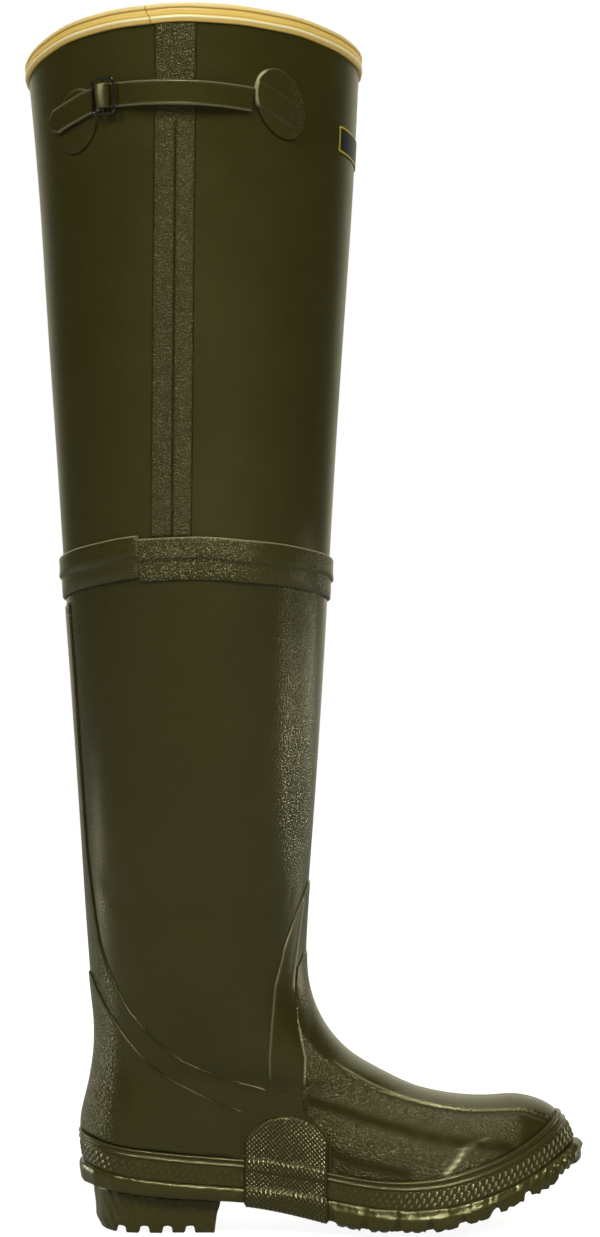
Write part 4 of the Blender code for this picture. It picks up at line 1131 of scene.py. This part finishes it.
binding_face = np.linspace(BINDING_LOW, RIM_HEIGHT + 0.6, 30)
BINDING_CORNERS = np.array([
    (BINDING_LOW, 0.15), *((height, 1.7) for height in binding_face[1:]),
    (RIM_HEIGHT + 1.2, 1.1), (BINDING_TOP, 0.2),
    (BINDING_TOP, BINDING_IN + 0.6), (RIM_HEIGHT + 1.2, BINDING_IN),
    *((height, BINDING_IN - 0.1) for height in np.linspace(RIM_HEIGHT, BINDING_LOW + 1, 6)),
    (BINDING_LOW + 1, -THIGH_WALL - 0.15),
])
binding_lap = float(angle_at(BINDING_LAP_X, leg_level(RIM_HEIGHT)))
LINE_HEIGHT = RIM_HEIGHT - 1.6
RIB_HEIGHT = RIM_HEIGHT - 7.0


def binding_place(column, row):
    """The folded tape's ring, starting at its lap."""
    corner = row % len(BINDING_CORNERS)
    height, offset = BINDING_CORNERS[corner].T
    rise = (height - BINDING_LOW) / (BINDING_TOP - BINDING_LOW)
    slant = (2.6 * (0.5 - rise) + 0.7 * np.sin(2 * np.pi * rise)) / BINDING_RADIUS
    turn = binding_lap + slant - 2 * np.pi * column / BINDING_COLUMNS
    face = np.where((corner < len(binding_face)) & (offset > 1), 1.0, 0.0)
    line = face * bell((height - LINE_HEIGHT) / 0.55)
    rib = face * bell((height - RIB_HEIGHT) / 0.8)
    low_line = face * bell((height - BINDING_LOW - 1.3) / 1.2)
    second_line = face * bell((height - RIB_HEIGHT - 1.6) / 0.4)
    from_end = (binding_lap + slant - turn) * BINDING_RADIUS
    lap = bell(from_end / BINDING_LAP_REACH)
    lift = 0.5 * rib - 0.5 * line + 0.5 * lap * face
    sway = 0.25 * np.sin(9 * turn) + 0.2 * np.sin(17 * turn + 1)
    # The rib and the face above the rolled line carry a painted highlight.
    marks = {"rib": np.clip(rib + 0.35 * face * soft_step((height - LINE_HEIGHT) / 2), 0, 1)}
    # Brown painted shade in the rolled line, beside the rib and along the lower edge; the lap's end is a dark
    # seam.
    seam = 0.8 * face * (from_end < 0.5)
    marks["line"] = np.clip(line + 0.55 * second_line + 0.5 * low_line + seam, 0, 1)
    return skin(turn, leg_level(height + sway * 0.6), offset + lift), marks


binding = capped(laid(BINDING_COLUMNS, len(BINDING_CORNERS), binding_place))
finish_piece("collar_tape", binding, "binding", ["collar_binding"], binding_yellow())

# Strap patches
# Two ovals of rubber sheet cemented to the thigh. The front one holds the end of the belt strap
# down, and the strap's end shows through it as a slanted ridge.
THIGH_RADIUS = 102.0
PATCHES = (
    ("strap_patch_front_oval", "strap_patch_front", 122.6, 702.0, 22.5, 17.5, -62.0, 1.5),
    ("strap_patch_rear_oval", "strap_patch_rear", 45.5, 696.0, 20.5, 18.5, 70.0, 1.3),
)
STRAP_WIDTH = 15.5
patch_rubber = olive_rubber("patch_rubber", 0.42, grain=0.1, dull_shaded=True)


def disc(angle, height, outline, thick, relief, rings=34, spokes=120):
    """A thin sheet on the thigh, from its middle to its outline and back underneath."""
    radii = np.concatenate([1 - np.linspace(1, 0, rings + 1) ** 1.5, np.linspace(1, 0, 5)[1:]])

    def place(column, row):
        spin = 2 * np.pi * column / spokes
        reach = outline(spin)
        radius = radii[row]
        across = radius * reach * np.cos(spin)
        up = radius * reach * np.sin(spin)
        top = row <= rings
        inward = (1 - radius) * reach
        lift, marks = relief(across, up, inward)
        edge = soft_step(inward / 1.3)
        offset = 0.1 + np.where(top, (thick + lift) * edge, 0)
        turn = np.radians(angle) + across / THIGH_RADIUS
        return skin(turn, leg_level(height + up), offset), marks

    mesh = laid(spokes, len(radii) - 1, place)
    bmesh.ops.remove_doubles(mesh, verts=mesh.verts, dist=1e-6)
    return mesh


def rim_marks(up, inward):
    """A patch's rim has a painted highlight above and painted shade below."""
    # Painted highlight on the upper rim, painted shade on the lower rim.
    rim = bell((inward - 0.5) / 0.6)
    return 0.07 * rim * (up > 0), rim * soft_step(-up / 6)


def strap_end_relief(across, up, inward):
    """The strap's end under the front patch, slanting down toward the front, with wear and a painted
    highlight on the patch's left rim and a faint painted highlight along the ridge.
    """
    slant = up + 0.37 * (across + 14) - 3.0
    under = soft_step((STRAP_WIDTH / 2 - np.abs(slant)) / 1.4 + 0.5) * soft_step((7 - across) / 2.5)
    stipple = soft_step((across - 4) / 6)
    # Wear with a painted highlight on the left rim, and a faint painted highlight on the ridge.
    wear_and_highlight = bell((inward - 0.7) / 0.7) * soft_step((-across - 9) / 4) * soft_step((up + 6) / 5)
    ridge = 4 * under * (1 - under) * (inward > 2)
    painted_highlight, dull_shade = rim_marks(up, inward)
    return 2.0 * under, {"grain": 0.7 * stipple, "bloom_and_highlight": 0.45 * wear_and_highlight + 0.06 * ridge + painted_highlight, "matte_shade": dull_shade}


def flat_relief(across, up, inward):
    """No relief."""
    painted_highlight, dull_shade = rim_marks(up, inward)
    return 0.0, {"bloom_and_highlight": painted_highlight, "matte_shade": dull_shade}


for name, solid, angle, height, half_long, half_short, lean, thick in PATCHES:
    def oval(spin, half_long=half_long, half_short=half_short, lean=math.radians(lean)):
        return 1 / np.hypot(np.cos(spin - lean) / half_long, np.sin(spin - lean) / half_short)

    relief = strap_end_relief if solid == "strap_patch_front" else flat_relief
    patch = disc(angle, height, oval, thick, relief)
    finish_piece(name, patch, "trim_rubber", [solid], patch_rubber)

# Belt strap
# A rubber strap from under the front patch, standing off the thigh, up and over the buckle's bar,
# and back down to its free tail with a cut tip.
BUCKLE_ANGLE = 60.3
BUCKLE_HEIGHT = 706.0
BUCKLE_STANDOFF = 6.2
BAR_TURN = 2.9
STRAP_THICK = 2.0
STRAP_TO_BUCKLE = (
    (90.6, 702.0, 1.6), (82.0, 702.2, 2.8), (66.0, 702.8, 5.2), (46.0, 703.5, 6.4), (28.0, 704.5, 5.6),
    (16.0, 705.3, 3.9), (10.5, 705.7, 2.6), (6.5, 706.0, 2.4), (4.2, 706.0, 3.4), (2.9, 706.0, 5.4),
)
STRAP_TAIL = (
    (-2.9, 706.0, 5.4), (-4.2, 706.0, 3.9), (-6.5, 705.5, 3.3), (-10.5, 705.0, 3.3), (-24.0, 702.5, 3.6),
    (-39.0, 700.0, 3.8), (-47.0, 698.6, 3.9),
)
STRAP_STATIONS = 220
over_bar = [
    (BAR_TURN * math.cos(turn), BUCKLE_HEIGHT, BUCKLE_STANDOFF + BAR_TURN * math.sin(turn))
    for turn in np.radians([30, 60, 90, 120, 150])
]
strap_route = np.array([*STRAP_TO_BUCKLE, *over_bar, *STRAP_TAIL])
strap_run = run_along(strap_route)
strap_spots = np.linspace(0, strap_run[-1], STRAP_STATIONS + 1)
strap_line = np.stack([spline(strap_run, strap_route[:, axis])(strap_spots) for axis in range(3)], axis=1)


def over_thigh(along, height, standoff):
    """A point over the thigh, by its distance from the buckle's bar."""
    return skin(np.radians(BUCKLE_ANGLE) + along / THIGH_RADIUS, leg_level(height), standoff)


strap_middle = over_thigh(*strap_line.T)
strap_ahead = np.gradient(strap_middle, axis=0)
strap_ahead /= np.linalg.norm(strap_ahead, axis=1, keepdims=True)
strap_across = over_thigh(strap_line[:, 0], strap_line[:, 1] + 1, strap_line[:, 2]) - strap_middle
strap_across -= strap_ahead * (strap_ahead * strap_across).sum(axis=1, keepdims=True)
strap_across /= np.linalg.norm(strap_across, axis=1, keepdims=True)
strap_face = np.cross(strap_across, strap_ahead)
STRAP_CORNER = ((0.97, 0.82), (0.993, 0.45), (1.0, 0.0), (0.993, -0.45), (0.97, -0.82))
strap_section = np.array([
    *((share, 1.0) for share in np.linspace(-0.92, 0.92, 31)),
    *STRAP_CORNER,
    *((share, -1.0) for share in np.linspace(0.92, -0.92, 7)),
    *((-wide, deep) for wide, deep in STRAP_CORNER[::-1]),
])
strap_rubber = olive_rubber("strap_rubber", 0.34, grain=0.08)


def strap_place(column, row):
    """The strap's section, carried along its route: rolled rims, a swell over the bar, a cut tip. Painted
    highlights lie along the rims and on the swell.
    """
    wide, deep = strap_section[row % len(strap_section)].T
    to_tip = strap_run[-1] - strap_spots[column]
    width = STRAP_WIDTH * np.where(to_tip < 5.5, 0.42 + 0.58 * to_tip / 5.5, 1.0)
    along = strap_line[column, 0]
    on_bar = bell(along / 3.6)
    outer = deep > 0.9
    rim = 0.35 * bell((np.abs(wide) - 0.88) / 0.08) * (1 - on_bar)
    thick = STRAP_THICK / 2 * deep + np.where(outer, rim + 1.6 * on_bar * (1 - wide**2), 0)
    sideways = strap_across[column] * (wide * width / 2)[:, None]
    # Painted highlights along the rolled rims and on the swell over the bar.
    wear_and_highlight = 0.16 * soft_step((np.abs(wide) - 0.82) / 0.08) * (1 - on_bar) * (deep > -0.5)
    wear_and_highlight += 0.4 * outer * bell((along - 0.4) / 0.9) * (0.6 + 0.4 * wide)
    return strap_middle[column] + sideways + strap_face[column] * thick[:, None], {"bloom_and_highlight": wear_and_highlight}


strap = capped(laid(STRAP_STATIONS, len(strap_section), strap_place))
finish_piece("belt_strap_band", strap, "trim_rubber", ["belt_strap"], strap_rubber)

# Buckle
# Black enamelled wire bent into a frame, with a bar across its middle that the strap runs over.
BUCKLE_HALF_LENGTH = 7.6
BUCKLE_HALF_WIDTH = 11.0
BUCKLE_CORNER = 2.6
BUCKLE_WIRE = 0.9
WIRE_SIDES = 16
CORNER_STEPS = 9
ENAMEL = (0.025, 0.025, 0.023)
ENAMEL_CHIPPED = (0.14, 0.135, 0.10)


def black_enamel():
    """Baked black enamel, chipped thin on its edges."""
    material = new_material("black_enamel")
    wear = noise(material, node(material, "TexCoord", output="Object"), 700.0, 4.0)
    coat(material, {
        "Base Color": blend(material, ramp(material, wear, 0.56, 0.72), ENAMEL, ENAMEL_CHIPPED),
        "Metallic": 0.35,
        "Roughness": ramp(material, wear, 0.3, 0.7, 0.15, 0.3),
    })
    return material


buckle_seat = over_thigh(np.array([0.0]), np.array([BUCKLE_HEIGHT]), np.array([BUCKLE_STANDOFF]))[0]
buckle_out = normal(np.array([np.radians(BUCKLE_ANGLE)]), leg_level(np.array([BUCKLE_HEIGHT])))[0]
buckle_up = np.array([0.0, 0.0, 1.0]) - buckle_out * buckle_out[2]
buckle_up /= np.linalg.norm(buckle_up)
buckle_forward = np.cross(buckle_out, buckle_up)
wire_path = []
for index, (side_u, side_v) in enumerate(((1, 1), (-1, 1), (-1, -1), (1, -1))):
    for turn in np.linspace(0, math.pi / 2, CORNER_STEPS) + index * math.pi / 2:
        u = side_u * (BUCKLE_HALF_LENGTH - BUCKLE_CORNER) + BUCKLE_CORNER * math.cos(turn)
        v = side_v * (BUCKLE_HALF_WIDTH - BUCKLE_CORNER) + BUCKLE_CORNER * math.sin(turn)
        wire_path.append((u, v, math.cos(turn), math.sin(turn)))
wire_path = np.array(wire_path + wire_path[:1])


def buckle_place(column, row):
    """The wire's round section, carried round the frame."""
    u, v, side_u, side_v = wire_path[column].T
    swing = 2 * np.pi * row / WIRE_SIDES
    reach = BUCKLE_WIRE * np.cos(swing)
    flat = np.outer(u + reach * side_u, buckle_forward) + np.outer(v + reach * side_v, buckle_up)
    return buckle_seat + flat + np.outer(BUCKLE_WIRE * np.sin(swing), buckle_out), {}


buckle = laid(len(wire_path) - 1, WIRE_SIDES, buckle_place)
bar_turn = Matrix((buckle_forward, -buckle_out, buckle_up)).transposed().to_4x4()
bar_place = Matrix.Translation((buckle_seat + LAST_PLACE) * MM) @ bar_turn
bmesh.ops.create_cone(
    buckle, cap_ends=True, segments=WIRE_SIDES, radius1=BUCKLE_WIRE * MM, radius2=BUCKLE_WIRE * MM,
    depth=2 * BUCKLE_HALF_WIDTH * MM, matrix=bar_place,
)
finish_piece("wire_buckle", buckle, "buckle_metal", ["buckle"], black_enamel())

# Label
# A blank dark patch with a thin yellow border, heat-pressed on the front of the thigh.
LABEL_ANGLE = 170.5
LABEL_HEIGHT = 694.0
LABEL_HALF_LENGTH = 31.0
LABEL_HALF_HEIGHT = 8.8
LABEL_THICK = 0.6
BORDER_IN = 1.2
BORDER_WIDTH = 0.55
NAVY = (0.006, 0.007, 0.02)
BORDER_YELLOW = (0.5, 0.42, 0.02)


def label_print():
    """Navy patch with a printed border."""
    material = new_material("label_print")
    grain = noise(material, node(material, "TexCoord", output="Object"), 900.0, 2.0)
    coat(material, {
        "Base Color": blend(material, mark(material, "border"), NAVY, BORDER_YELLOW),
        "Roughness": 0.45,
        "Specular IOR Level": 0.2,
        "Normal": node(material, "Bump", {"Strength": 0.2, "Distance": 0.0002, "Height": grain}),
    })
    return material


def label_outline(spin):
    """A rectangle with rounded corners, as a distance from its middle."""
    power = 9.0
    wide = np.abs(np.cos(spin) / LABEL_HALF_LENGTH) ** power
    tall = np.abs(np.sin(spin) / LABEL_HALF_HEIGHT) ** power
    return (wide + tall) ** (-1 / power)


def label_relief(across, up, inward):
    """A flat face with its printed border marked."""
    from_side = np.minimum(LABEL_HALF_LENGTH - np.abs(across), LABEL_HALF_HEIGHT - np.abs(up))
    border = soft_step((BORDER_WIDTH - np.abs(from_side - BORDER_IN)) / 0.3 + 0.5)
    return 0.0, {"border": border}


label = disc(LABEL_ANGLE, LABEL_HEIGHT, label_outline, LABEL_THICK, label_relief, 40, 200)
finish_piece("front_label", label, "label_patch", ["label"], label_print())
